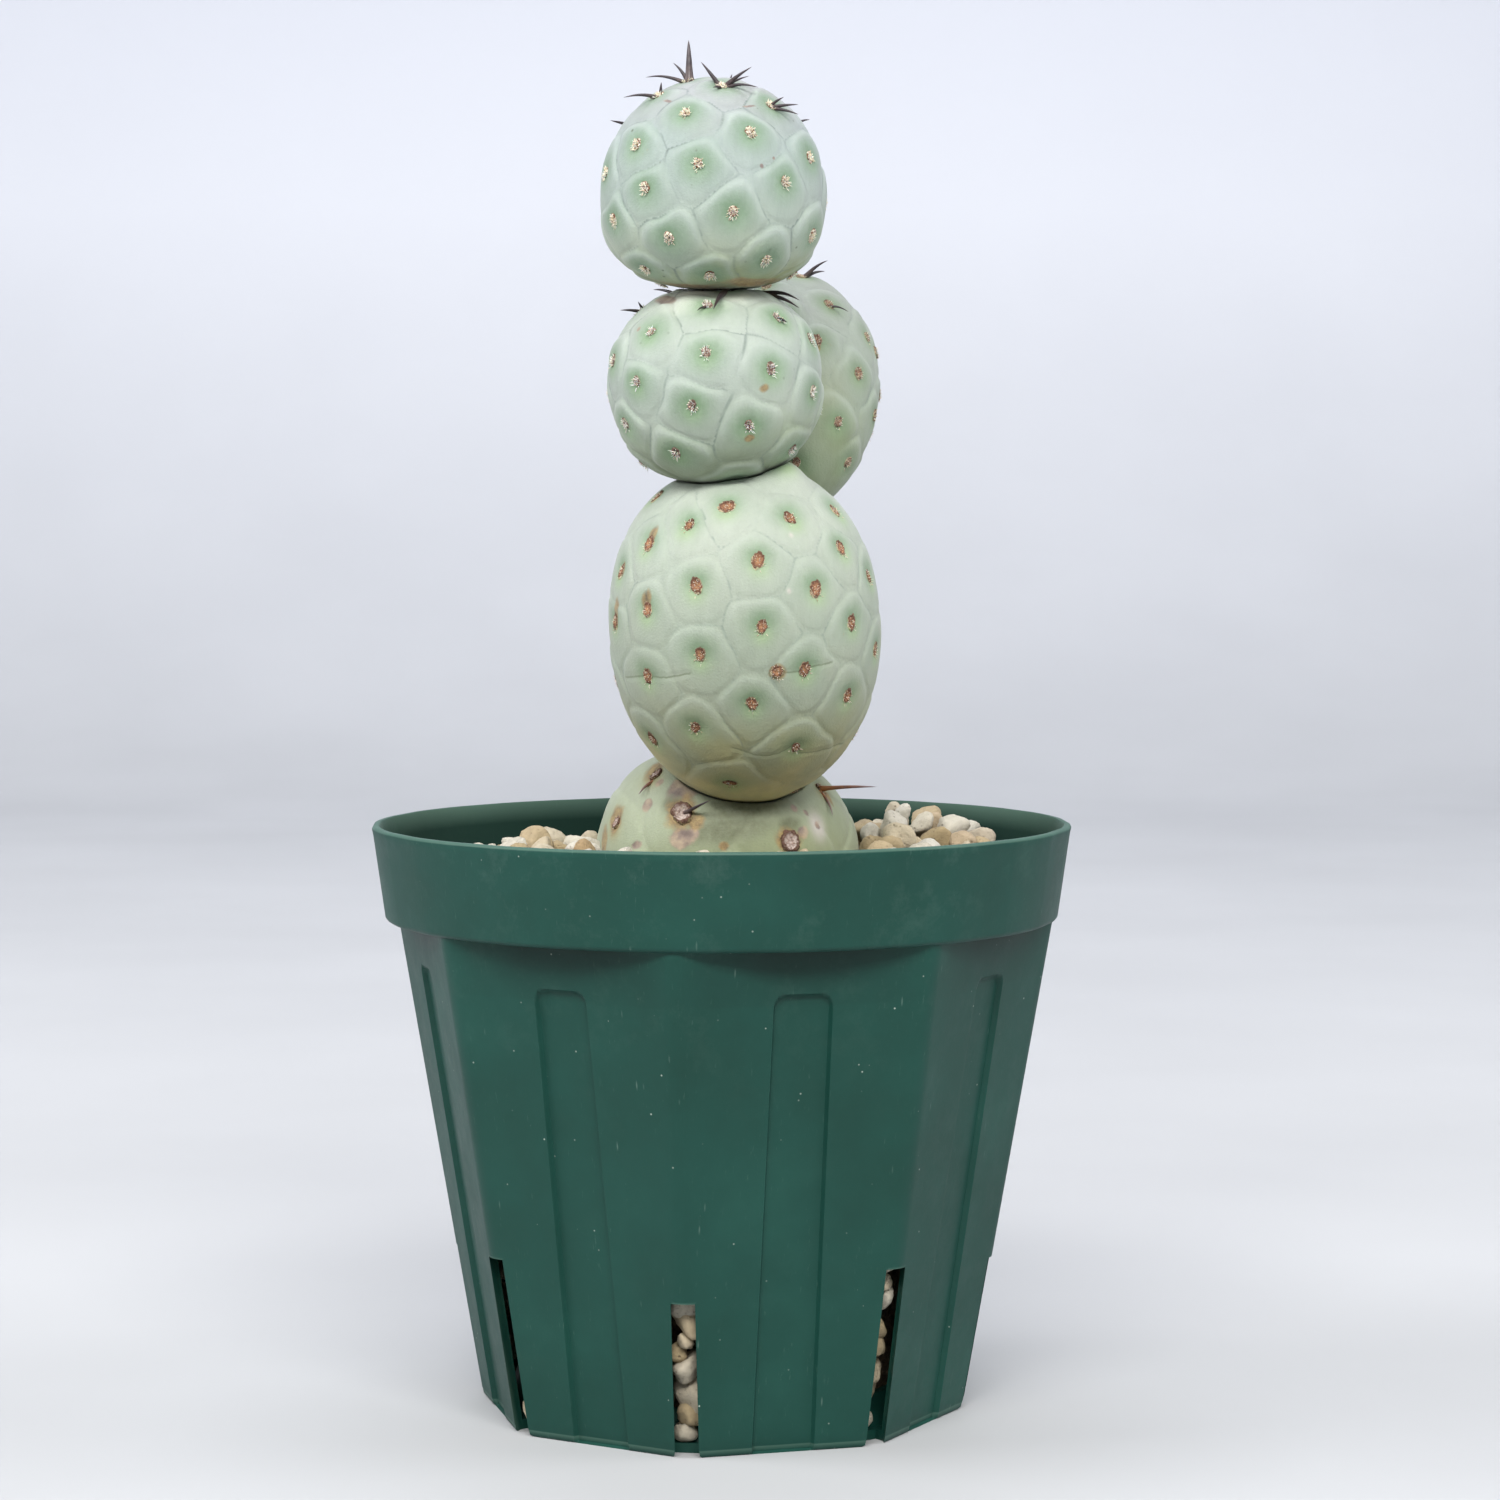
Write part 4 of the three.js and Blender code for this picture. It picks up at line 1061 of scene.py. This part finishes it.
def pot_body():
    """Closed wall of the pot as rings from the middle of its underside, round the rim, to its floor."""
    columns = pot_columns()
    shape = wall_ring(columns, POT.band_height)
    inner_rim = POT.rim_radius - POT.band_wall
    ledge = POT.band_height + POT.wall

    def rounds(*rings):
        return [round_ring(shape, radius, height) for radius, height in rings]

    rings = rounds(
        (0.01, POT.floor_raise), (POT.floor_radius - 1, POT.floor_raise),
        (POT.floor_radius + 0.2, POT.floor_raise - 0.5), (POT.floor_foot, 0.0),
    )
    for height, inset in ((0.0, 0.4), (0.35, 0.08), (1.1, 0.05)):
        rings.append(wall_ring(columns, height, inset, height > 0))
    rings += [wall_ring(columns, height, 0.0, True) for height in WALL_HEIGHTS]
    rings += rounds((POT.band_radius - 1.0, POT.band_height))
    for angle in np.radians((20, 45, 70, 90)):
        radius = POT.band_radius - BAND_ROUND + (BAND_ROUND + BAND_ROUND * BAND_SLOPE) * math.sin(angle)
        rings += rounds((radius, POT.band_height + BAND_ROUND * (1 - math.cos(angle))))
    rings += rounds(*((POT.band_radius + BAND_SLOPE * (z - POT.band_height), z) for z in (88, 92, 96, 99)))
    for angle in np.radians((0, 30, 60, 90)):
        radius = POT.rim_radius - LIP_ROUND + LIP_ROUND * math.cos(angle)
        rings += rounds((radius, POT.rim_height - LIP_ROUND * (1 - math.sin(angle))))
    rings += rounds((inner_rim + LIP_INNER, POT.rim_height), (inner_rim, POT.rim_height - LIP_INNER))
    rings += rounds(*((inner_rim - BAND_SLOPE * (POT.rim_height - z), z) for z in (97, 92, ledge + 0.4)))
    rings += rounds((inner_rim - BAND_SLOPE * (POT.rim_height - ledge) - 0.4, ledge))
    rings.append(wall_ring(columns, ledge, POT.wall - 0.3))
    rings += [wall_ring(columns, height, POT.wall) for height in (ledge - 0.5, *INNER_HEIGHTS)]
    rings += rounds(
        (POT.floor_foot + POT.wall, POT.foot_thickness),
        (POT.floor_radius + POT.wall, POT.floor_raise + POT.wall), (0.01, POT.floor_raise + POT.wall),
    )
    faces = [(b, a, d, c) for a, b, c, d in tube(len(rings), len(columns))]
    return np.concatenate(rings), faces


def solid_object(name, points, faces):
    """A closed mesh for cutting, with doubled points merged."""
    made = mesh_object(name, points, faces)
    work = bmesh.new()
    work.from_mesh(made.data)
    bmesh.ops.remove_doubles(work, verts=work.verts, dist=0.02 * MM)
    bmesh.ops.recalc_face_normals(work, faces=work.faces)
    work.to_mesh(made.data)
    work.free()
    return made


# How much wider a slit is behind the wall than in its face, on each side, and where the cut begins
SLIT_FLARE = 1.2
SLIT_FOOT = -1.0


def slit_cutters():
    """One block for each corner's slit, wider inside the wall, all in one mesh."""
    points, faces = [], []
    half = POT.slit_width / 2
    for corner in range(FACETS):
        top = slit_top(corner)
        along, across = wall_axes(corner)
        start = len(points)
        stations = [
            (POT.slit_inner, POT.slit_inner, half + SLIT_FLARE),
            (*(pot_corner(height, POT.wall + 0.5) for height in (SLIT_FOOT, top)), half + SLIT_FLARE),
            (*(pot_corner(height, 0.5) for height in (SLIT_FOOT, top)), half),
            (POT.rim_radius, POT.rim_radius, half),
        ]
        for low_radius, high_radius, width in stations:
            for side in (-width, width):
                points.append(along * low_radius + across * side + np.array([0, 0, SLIT_FOOT]))
                points.append(along * high_radius + across * side + np.array([0, 0, top]))
        last = 4 * (len(stations) - 1)
        faces += [tuple(start + i for i in (0, 1, 3, 2)), tuple(start + last + i for i in (0, 2, 3, 1))]
        for step in range(0, last, 4):
            for a, b in ((0, 1), (1, 3), (3, 2), (2, 0)):
                faces.append(tuple(start + step + i for i in (a, a + 4, b + 4, b)))
    return solid_object("slit_cutters", points, faces)


# How near to an edge of a slit a point counts as on it, how pale slits and foot are scuffed and the
# rim is scuffed and painted with a highlight, where the rim and the foot's edge are, and where painted
# shade darkens the inner wall towards the back and the wall below the band
EDGE_NEAR = 0.06
SLIT_WORN, EDGE_WORN = 0.3, 0.4
RIM_WORN_DEPTH, FOOT_WORN = 0.3, (0.9, 1.2)
INSIDE_SHADE_SIDE, OVERHANG_DEPTH, OVERHANG_REACH, OVERHANG_FADE = (-15, 30), (1.0, 4.5), 9, 4


def worn_and_shaded_cues(points):
    """Where the pot's slits and foot are scuffed pale, where its rim is painted paler as scuffing and a
    highlight, and where painted shade darkens the inner wall and the wall below the band.
    """
    angle = np.arctan2(points[:, 0], -points[:, 1]) - POT.turn
    corner = np.round(angle / FACET_ANGLE)
    radius = np.hypot(points[:, 0], points[:, 1])
    sideways = np.abs(radius * np.sin(angle - corner * FACET_ANGLE)) - POT.slit_width / 2
    above_top = points[:, 2] - slit_top(corner)
    beside = (np.abs(sideways) < EDGE_NEAR) & (above_top < 0.1)
    above = (np.abs(above_top) < EDGE_NEAR) & (sideways < EDGE_NEAR)
    slit = (beside | above) & (radius > pot_corner(points[:, 2]) - 1.0)
    # the rim's top is painted paler: partly scuffing, partly a painted highlight where it catches the light
    rim = points[:, 2] > POT.rim_height - RIM_WORN_DEPTH
    foot = (points[:, 2] > FOOT_WORN[0]) & (points[:, 2] < FOOT_WORN[1])
    above_ledge = points[:, 2] - POT.band_height
    # painted shade on the inner wall, growing towards the back of the pot
    inside = (above_ledge > 0.5) & (radius < POT.band_radius + BAND_SLOPE * above_ledge - 0.9)
    inside = inside * smoothstep(points[:, 1], *INSIDE_SHADE_SIDE)
    # painted shadow of the round band on the facets below it, deepest where the band overhangs most
    below = (above_ledge < 0.1) * (above_ledge > -OVERHANG_REACH)
    overhang = smoothstep(POT.band_radius - radius, *OVERHANG_DEPTH) * below
    shaded = overhang * np.exp(-np.abs(above_ledge) / OVERHANG_FADE)
    return dict(worn=slit * SLIT_WORN + rim * EDGE_WORN + foot * EDGE_WORN, inside=inside, shaded=shaded)


# Turns of the three families of scratches on the plastic
SCRATCH_TURNS = ((0.9, 0.3, 0), (-0.7, -1.0, 0), (1.3, -0.5, 0))


def moulded_polypropylene():
    """Injection-moulded polypropylene: dark green, satin, faintly streaked where it was stacked.

    Handling leaves fine upright scratches, pale rub marks, a bloom of dust and specks of grit.
    """
    green = blank_material("moulded_polypropylene")
    where = add(green, "TexCoord")
    cloud = add(green, "TexNoise", {"Vector": where, "Scale": per(28), "Detail": 5, "Roughness": 0.6})
    colour = add(green, "ValToRGB", (cloud,), stops=((0.3, "#0e3a31"), (0.55, "#114138"), (0.75, "#18493f")))

    dusty = add(green, "TexNoise", {"Vector": where, "Scale": per(9), "Detail": 8, "Roughness": 0.8})
    dust = add(green, "MapRange", (dusty, 0.52, 0.75))
    height = add(green, "SeparateXYZ", (where,))
    high = add(green, "MapRange", (height, 0.06, 0.1, 0.02, 0.12))
    dust = add(green, "Math", (dust, high))

    drawn = add(green, "Mapping", {"Vector": where, "Scale": (1.0, 1.0, 0.06)})
    lines = add(green, "TexNoise", {"Vector": drawn, "Scale": per(0.55), "Detail": 3, "Roughness": 0.7})
    lines = add(green, "MapRange", (lines, 0.64, 0.72))
    rubbed = add(green, "TexNoise", {"Vector": where, "Scale": per(16), "Detail": 3})
    rubbed = add(green, "MapRange", (rubbed, 0.45, 0.7, 0.02, 0.2))
    lines = add(green, "Math", (lines, rubbed))

    few = add(green, "TexNoise", {"Vector": where, "Scale": per(5), "Detail": 2})
    few = add(green, "MapRange", (few, 0.5, 0.62, 0.0, 0.75))
    specks = add(green, "TexVoronoi", {"Vector": where, "Scale": per(2.6)})
    specks = add(green, "MapRange", (specks, 0.03, 0.075, 1.0, 0.0))
    specks = add(green, "Math", (specks, few))
    layers = [(dust, "#7f978d"), (lines, "#6f8d80"), (specks, "#b4c1b6")]
    for turn in SCRATCH_TURNS:
        laid = add(green, "Mapping", {"Vector": where, "Rotation": turn, "Scale": (1.0, 1.0, 0.09)})
        hair = add(green, "TexVoronoi", {"Vector": laid, "Scale": per(2.4)})
        hair = add(green, "MapRange", (hair, 0.03, 0.075, 0.28, 0.0))
        hair = add(green, "Math", (hair, few))
        layers.append((hair, "#8fa89c"))
    # painted shade inside the pot and under the band, then the scuffed slits and foot and the rim's painted
    # highlight
    shade_and_wear = (("inside", 0.85, "#08241c"), ("shaded", 0.75, "#071e19"), ("worn", 0.55, "#7fa08f"))
    layers += [(add(green, "Math", (cue, share)), code) for cue, share, code in shade_and_wear]
    for share, code in layers:
        colour = add(green, "Mix", (share, colour, code))

    rough = add(green, "MapRange", (dusty, 0.3, 0.7, 0.46, 0.6))
    rough = add(green, "Math", ("inside", 0.4, rough), operation="MULTIPLY_ADD")
    fine = add(green, "TexNoise", {"Vector": where, "Scale": per(0.6), "Detail": 3})
    bump = add(green, "Math", (fine, lines), operation="SUBTRACT")
    bump = add(green, "Bump", {"Strength": 0.12, "Distance": 0.1 * MM, "Height": bump})
    finish = {"Roughness": rough, "Normal": bump, "IOR": 1.49, "Specular IOR Level": 0.3}
    add(green, "BsdfPrincipled", {"Base Color": colour, **finish})
    return green


# Degrees between faces above which an edge of the pot is sharp
SHARP_ABOVE = 38


def make_pot():
    """The pot's wall with its slits cut."""
    body = solid_object("pot_blank", *pot_body())
    cutters = slit_cutters()
    cut = body.modifiers.new("slits", "BOOLEAN")
    cut.operation, cut.object, cut.solver = "DIFFERENCE", cutters, "EXACT"
    shaped = body.evaluated_get(bpy.context.evaluated_depsgraph_get()).to_mesh()
    points = np.array([v.co[:] for v in shaped.vertices]) / MM
    shape = points, [tuple(f.vertices) for f in shaped.polygons], worn_and_shaded_cues(points)
    body.to_mesh_clear()
    bpy.data.objects.remove(body)
    bpy.data.objects.remove(cutters)
    mesh_piece("slit_pot", shape, moulded_polypropylene(), "pot", SHARP_ABOVE)


make_pot()

# Soil: how deep the bed of grains is, and its top: low along the wall, heaped round the stem, with
# banks of a middle, a reach to each side, a reach to front and back, and a height
SOIL_FLOOR, SOIL_LOW, BED_DEPTH = 86.2, 92.2, 8.5
STEM_HEAP, STEM_HEAP_EDGE = 3.4, (54, 30)
BANKS = (((38, 31), 16, 18, 8.0), ((-34, -2), 14, 25, 2.6))
# Grains: how many shapes there are, their flats and pits and how crisp the edges are, how many are
# dropped and how many places each tries, their radii, and how close two may come
GRAIN_SHAPES, GRAIN_FLATS, GRAIN_PITS, GRAIN_POWER = 16, 11, 9, 6
GRAIN_TRIES, PLACE_TRIES, GRAIN_RADIUS, GRAIN_SQUEEZE = 640, 26, (1.8, 3.8), 0.9
# Radii of the grains in the slits, and how far towards the palest tone they go
SLIT_GRAINS, SLIT_PALEST = (1.6, 2.2, 2.9, 3.8), 0.7
# A height that rules a place out
NEVER = 1e9


def soil_top(x, y):
    """Height that the grains' tops reach."""
    top = SOIL_LOW + STEM_HEAP * smoothstep(np.hypot(x, y), *STEM_HEAP_EDGE)
    for (middle_x, middle_y), aside, along, height in BANKS:
        top = top + height * np.exp(-(((x - middle_x) / aside) ** 2) - ((y - middle_y) / along) ** 2)
    return top


def grain_shape(directions, draw):
    """A broken, tumbled grain: a rounded many-sided lump with a few pits."""
    flats = unit(draw.normal(size=(GRAIN_FLATS, 3)))
    depth = draw.uniform(0.8, 1.0, GRAIN_FLATS)
    facing = np.maximum(directions @ flats.T, 0) / depth
    reach = ((facing**GRAIN_POWER).sum(1) + 0.6**GRAIN_POWER) ** (-1 / GRAIN_POWER)
    reach = np.minimum(reach, 1.25)
    coarse, fine = (ripples(directions, length, draw.integers(1e6)) for length in (1.1, 0.4))
    reach += 0.04 * coarse + 0.028 * fine
    pits = unit(draw.normal(size=(GRAIN_PITS, 3)))
    for pit, size in zip(pits, draw.uniform(0.07, 0.2, GRAIN_PITS)):
        away = np.linalg.norm(directions - pit, axis=1)
        reach -= 0.09 * np.exp(-((away / size) ** 2))
    squash = np.array([1.0, draw.uniform(0.78, 1), draw.uniform(0.62, 0.85)])
    return directions * (reach / reach.mean())[:, None] * squash


def random_turn(draw):
    """Matrix of a turn to any side, all as likely."""
    w, x, y, z = unit(draw.normal(size=4))
    return np.array([
        [1 - 2 * (y * y + z * z), 2 * (x * y - z * w), 2 * (x * z + y * w)],
        [2 * (x * y + z * w), 1 - 2 * (x * x + z * z), 2 * (y * z - x * w)],
        [2 * (x * z - y * w), 2 * (y * z + x * w), 1 - 2 * (x * x + y * y)],
    ])


def in_stem(places, clearance):
    """Which places lie in the base segment, or nearer to it than the clearance."""
    stem = SEGMENTS["segment_base"]
    seen = to_local(stem, places)
    return np.linalg.norm(seen, axis=1) < smooth_reach(stem, unit(seen)) + clearance


def settle_bed(draw):
    """Grains dropped one by one onto those below them, each in the lowest place it finds."""
    wall = POT.band_radius - POT.band_wall - 0.3
    bed = np.empty((0, 4))
    for _ in range(GRAIN_TRIES):
        radius = draw.uniform(*GRAIN_RADIUS)
        reach = (wall - radius * 0.95) * np.sqrt(draw.uniform(size=PLACE_TRIES))
        angle = draw.uniform(0, 2 * math.pi, PLACE_TRIES)
        x, y = reach * np.sin(angle), -reach * np.cos(angle)
        rest = np.maximum(soil_top(x, y) - BED_DEPTH, SOIL_FLOOR) + radius * 1.1
        if len(bed):
            apart = np.hypot(x[:, None] - bed[:, 0], y[:, None] - bed[:, 1])
            touch = GRAIN_SQUEEZE * (radius + bed[:, 3])
            over = bed[:, 2] + np.sqrt(np.maximum(touch**2 - apart**2, 0))
            rest = np.maximum(rest, np.where(apart < touch, over, -NEVER).max(1))
        room = rest + radius * 0.8 - soil_top(x, y)
        room[in_stem(np.stack([x, y, rest], 1), radius * 0.72)] = NEVER
        best = int(np.argmin(room))
        if room[best] < 1.0:
            bed = np.vstack([bed, (x[best], y[best], rest[best], radius)])
    return bed[:, :3], bed[:, 3]


def slit_column(corner, draw):
    """Grains stacked behind a slit, their faces just inside the wall."""
    top = slit_top(corner)
    along, across = wall_axes(corner)
    places, sizes, height = [], [], POT.foot_thickness + 0.2
    while height < top + 3:
        radius = draw.choice(SLIT_GRAINS) * draw.uniform(0.9, 1.1)
        height += radius * 0.62
        reach = pot_corner(height, POT.wall) - radius - 0.6 - draw.uniform(0, 1.5)
        places.append(along * reach + across * draw.uniform(-1.7, 1.7) + np.array([0, 0, height]))
        sizes.append(radius)
        height += radius * 0.62
    return np.array(places), np.array(sizes)


def lay_grains(name, places, sizes, level, seeds, material, draw, palest=1.0):
    """A piece of many grains: each takes one of the shapes and is turned and toned in its own way."""
    directions, faces = ball(level)
    shapes = [grain_shape(directions, np.random.default_rng(seed)) for seed in seeds]
    grains = []
    for place, size in zip(places, sizes):
        shape = shapes[draw.integers(len(shapes))]
        points = place + (shape @ random_turn(draw).T) * size
        grains.append((points, faces, dict(tone=np.full(len(points), palest * draw.uniform()))))
    mesh_piece(name, join(grains), material, "soil")


def pumice_grit():
    """Pumice and baked clay grains: porous, matt stone in cream, tan and off-white, dusty and pitted."""
    grit = blank_material("pumice_grit")
    where = add(grit, "TexCoord")
    tones = (
        (0.0, "#b09d78"), (0.2, "#c0ad8c"), (0.42, "#cdc0a6"), (0.68, "#d4cdbc"), (0.93, "#dbd7cb"),
        (1.0, "#b89d76"),
    )
    colour = add(grit, "ValToRGB", ("tone",), stops=tones)
    cloud = add(grit, "TexNoise", {"Vector": where, "Scale": per(3.2), "Detail": 6, "Roughness": 0.7})
    shade = add(grit, "MapRange", (cloud, 0.3, 0.7, 0.8, 1.1))
    colour = add(grit, "HueSaturation", {"Value": shade, "Color": colour})
    pores = add(grit, "TexVoronoi", {"Vector": where, "Scale": per(0.9)})
    pores = add(grit, "MapRange", (pores, 0.12, 0.3, 1.0, 0.0))
    spotty = add(grit, "TexNoise", {"Vector": where, "Scale": per(2.2), "Detail": 2})
    spotty = add(grit, "MapRange", (spotty, 0.45, 0.65, 0.0, 0.6))
    pores = add(grit, "Math", (pores, spotty))
    colour = add(grit, "Mix", (pores, colour, "#6b5840"))
    sandy = add(grit, "TexNoise", {"Vector": where, "Scale": per(0.5), "Detail": 5, "Roughness": 0.75})
    relief = add(grit, "Math", (sandy, pores), operation="SUBTRACT")
    bump = add(grit, "Bump", {"Strength": 0.9, "Distance": 0.6 * MM, "Height": relief})
    add(grit, "BsdfPrincipled", {"Base Color": colour, "Normal": bump, "Roughness": 0.95, "IOR": 1.5})
    return grit


def packed_fines():
    """The fine, damp dust and shade between the grains: dark brown and dull."""
    fines = blank_material("packed_fines")
    where = add(fines, "TexCoord")
    crumb = add(fines, "TexNoise", {"Vector": where, "Scale": per(1.2), "Detail": 6, "Roughness": 0.7})
    colour = add(fines, "ValToRGB", (crumb,), stops=((0.35, "#443827"), (0.6, "#6d5d45"), (0.75, "#8d7c60")))
    bump = add(fines, "Bump", {"Strength": 1.0, "Distance": 0.8 * MM, "Height": crumb})
    add(fines, "BsdfPrincipled", {"Base Color": colour, "Normal": bump, "Roughness": 1.0})
    return fines


# Columns of the packed soil on each facet, how far it keeps from the wall, and its rings' radii on top
CORE_COLUMNS = (("corner", -1.5), ("corner", 1.5), ("facet", -8.0), ("facet", 0.0), ("facet", 8.0))
CORE_GAP, CORE_SLIT_GAP = 0.3, 5.2
CORE_RADII = (54, 48, 42, 36, 30, 24, 16, 8, 0.01)


def soil_core():
    """The packed soil under and behind the grains that show, as rings from its foot to its top."""
    columns = [(facet, *column) for facet in range(FACETS) for column in CORE_COLUMNS]
    inset = POT.wall + CORE_GAP

    def ring(height, more=0.0):
        flat = [outline_point(*column, height, inset + more) for column in columns]
        return np.column_stack([flat, np.full(len(flat), height)])

    floor = POT.floor_raise + POT.wall + 0.4
    foot = ring(POT.foot_thickness + 0.4, CORE_SLIT_GAP)
    rings = [round_ring(foot, 0.01, floor), round_ring(foot, POT.floor_radius - 2.0, floor), foot]
    rings += [ring(height, CORE_SLIT_GAP) for height in np.arange(6, 33, 3)]
    rings += [ring(37, 0.5), ring(60), ring(POT.band_height)]
    for radius in CORE_RADII:
        level = round_ring(foot, radius, 0.0)
        level[:, 2] = soil_top(level[:, 0], level[:, 1]) - BED_DEPTH + 1.2
        rings.append(level)
    return np.concatenate(rings), tube(len(rings), len(columns)), {}


# How finely the grains' balls are divided: those on top, those in the slits and those underneath,
# which lie deeper than this
TOP_LEVEL, SLIT_LEVEL, DEEP_LEVEL = 6, 5, 4
DEEP = 3.2


def make_soil():
    """The grains on top, those under them, those in the slits, and the packed soil."""
    draw = np.random.default_rng(11)
    seeds = draw.integers(1, 1e6, GRAIN_SHAPES)
    places, sizes = settle_bed(draw)
    deep = places[:, 2] + sizes < soil_top(places[:, 0], places[:, 1]) - DEEP
    front = places[:, 1] < 0
    grit = pumice_grit()
    for name, chosen, level in (
        ("grains_front", front & ~deep, TOP_LEVEL),
        ("grains_back", ~front & ~deep, TOP_LEVEL),
        ("grains_deep", deep, DEEP_LEVEL),
    ):
        lay_grains(name, places[chosen], sizes[chosen], level, seeds, grit, draw)
    columns = [slit_column(corner, draw) for corner in range(FACETS)]
    places, sizes = (np.concatenate(part) for part in zip(*columns))
    lay_grains("grains_in_slits", places, sizes, SLIT_LEVEL, seeds, grit, draw, SLIT_PALEST)
    mesh_piece("packed_soil", soil_core(), packed_fines(), "soil")


make_soil()


# Stage: a pale painted sweep, well behind the pot, and soft light from above and both sides
def matt_paint():
    """Matt emulsion on board: pale cool grey, barely mottled. Its colour changes with height as painted
    light and shade: darker on the floor, lightest low on the wall, darker again higher up.
    """
    paint = blank_material("matt_paint")
    where = add(paint, "TexCoord")
    cloud = add(paint, "TexNoise", {"Vector": where, "Scale": per(160), "Detail": 3})
    floor = add(paint, "ValToRGB", (cloud,), stops=((0.3, "#b2b4b6"), (0.7, "#b8babc")))
    height = add(paint, "SeparateXYZ", (where,))
    # painted light and shade by height: the wall paler than the floor, then darker again higher up
    wall, upper = (add(paint, "MapRange", (height, low, high)) for low, high in ((0.0, 0.7), (0.36, 0.86)))
    colour = add(paint, "Mix", (wall, floor, "#e2e5ec"))
    colour = add(paint, "Mix", (upper, colour, "#a9acb3"))
    add(paint, "BsdfPrincipled", {"Base Color": colour, "Roughness": 0.85})
    return paint


def make_stage():
    """Floor and wall in one sweep, with a bend between them."""
    half_width, front, back, bend, top = 2600, -2400, 1300, 700, 2600
    profile = [(front, 0.0), (back, 0.0)]
    for angle in np.radians(range(6, 91, 6)):
        profile.append((back + bend * math.sin(angle), bend * (1 - math.cos(angle))))
    profile.append((back + bend, top))
    points = [(side, y, z) for y, z in profile for side in (-half_width, half_width)]
    faces = [(2 * i, 2 * i + 1, 2 * i + 3, 2 * i + 2) for i in range(len(profile) - 1)]
    sweep = mesh_object("sweep", points, faces)
    sweep.data.shade_smooth()
    sweep.data.materials.append(matt_paint())


def soft_light(name, place, aim, size, power, code):
    """A rectangle of light at a place, turned to what it lights."""
    data = bpy.data.lights.new(name, "AREA")
    data.shape, data.energy = "RECTANGLE", power
    data.size, data.size_y = (side * MM for side in size)
    data.color = linear(code)[:3]
    lamp = in_scene(name, data)
    lamp.location = Vector(place) * MM
    lamp.rotation_euler = (Vector(aim) - Vector(place)).to_track_quat("-Z", "Y").to_euler()


def make_light():
    world = bpy.data.worlds.new("studio")
    world.use_nodes = True
    sky = world.node_tree.nodes["Background"]
    sky.inputs["Color"].default_value = linear("#e4e8f0")
    sky.inputs["Strength"].default_value = 0.26
    bpy.context.scene.world = world
    soft_light("front_light", (0, -1340, 1300), (0, 0, 120), (1700, 420), 45.5, "#fffdfa")
    soft_light("left_light", (-1400, -100, 900), (0, 0, 120), (800, 800), 15, "#fdfcff")
    soft_light("right_light", (1400, -100, 900), (0, 0, 120), (800, 800), 10, "#fdfcff")
    soft_light("wall_light", (0, 700, 1900), (0, 2000, 300), (1200, 1200), 27, "#f4f6ff")
    bpy.context.scene.view_settings.view_transform = "Standard"


make_stage()
make_light()
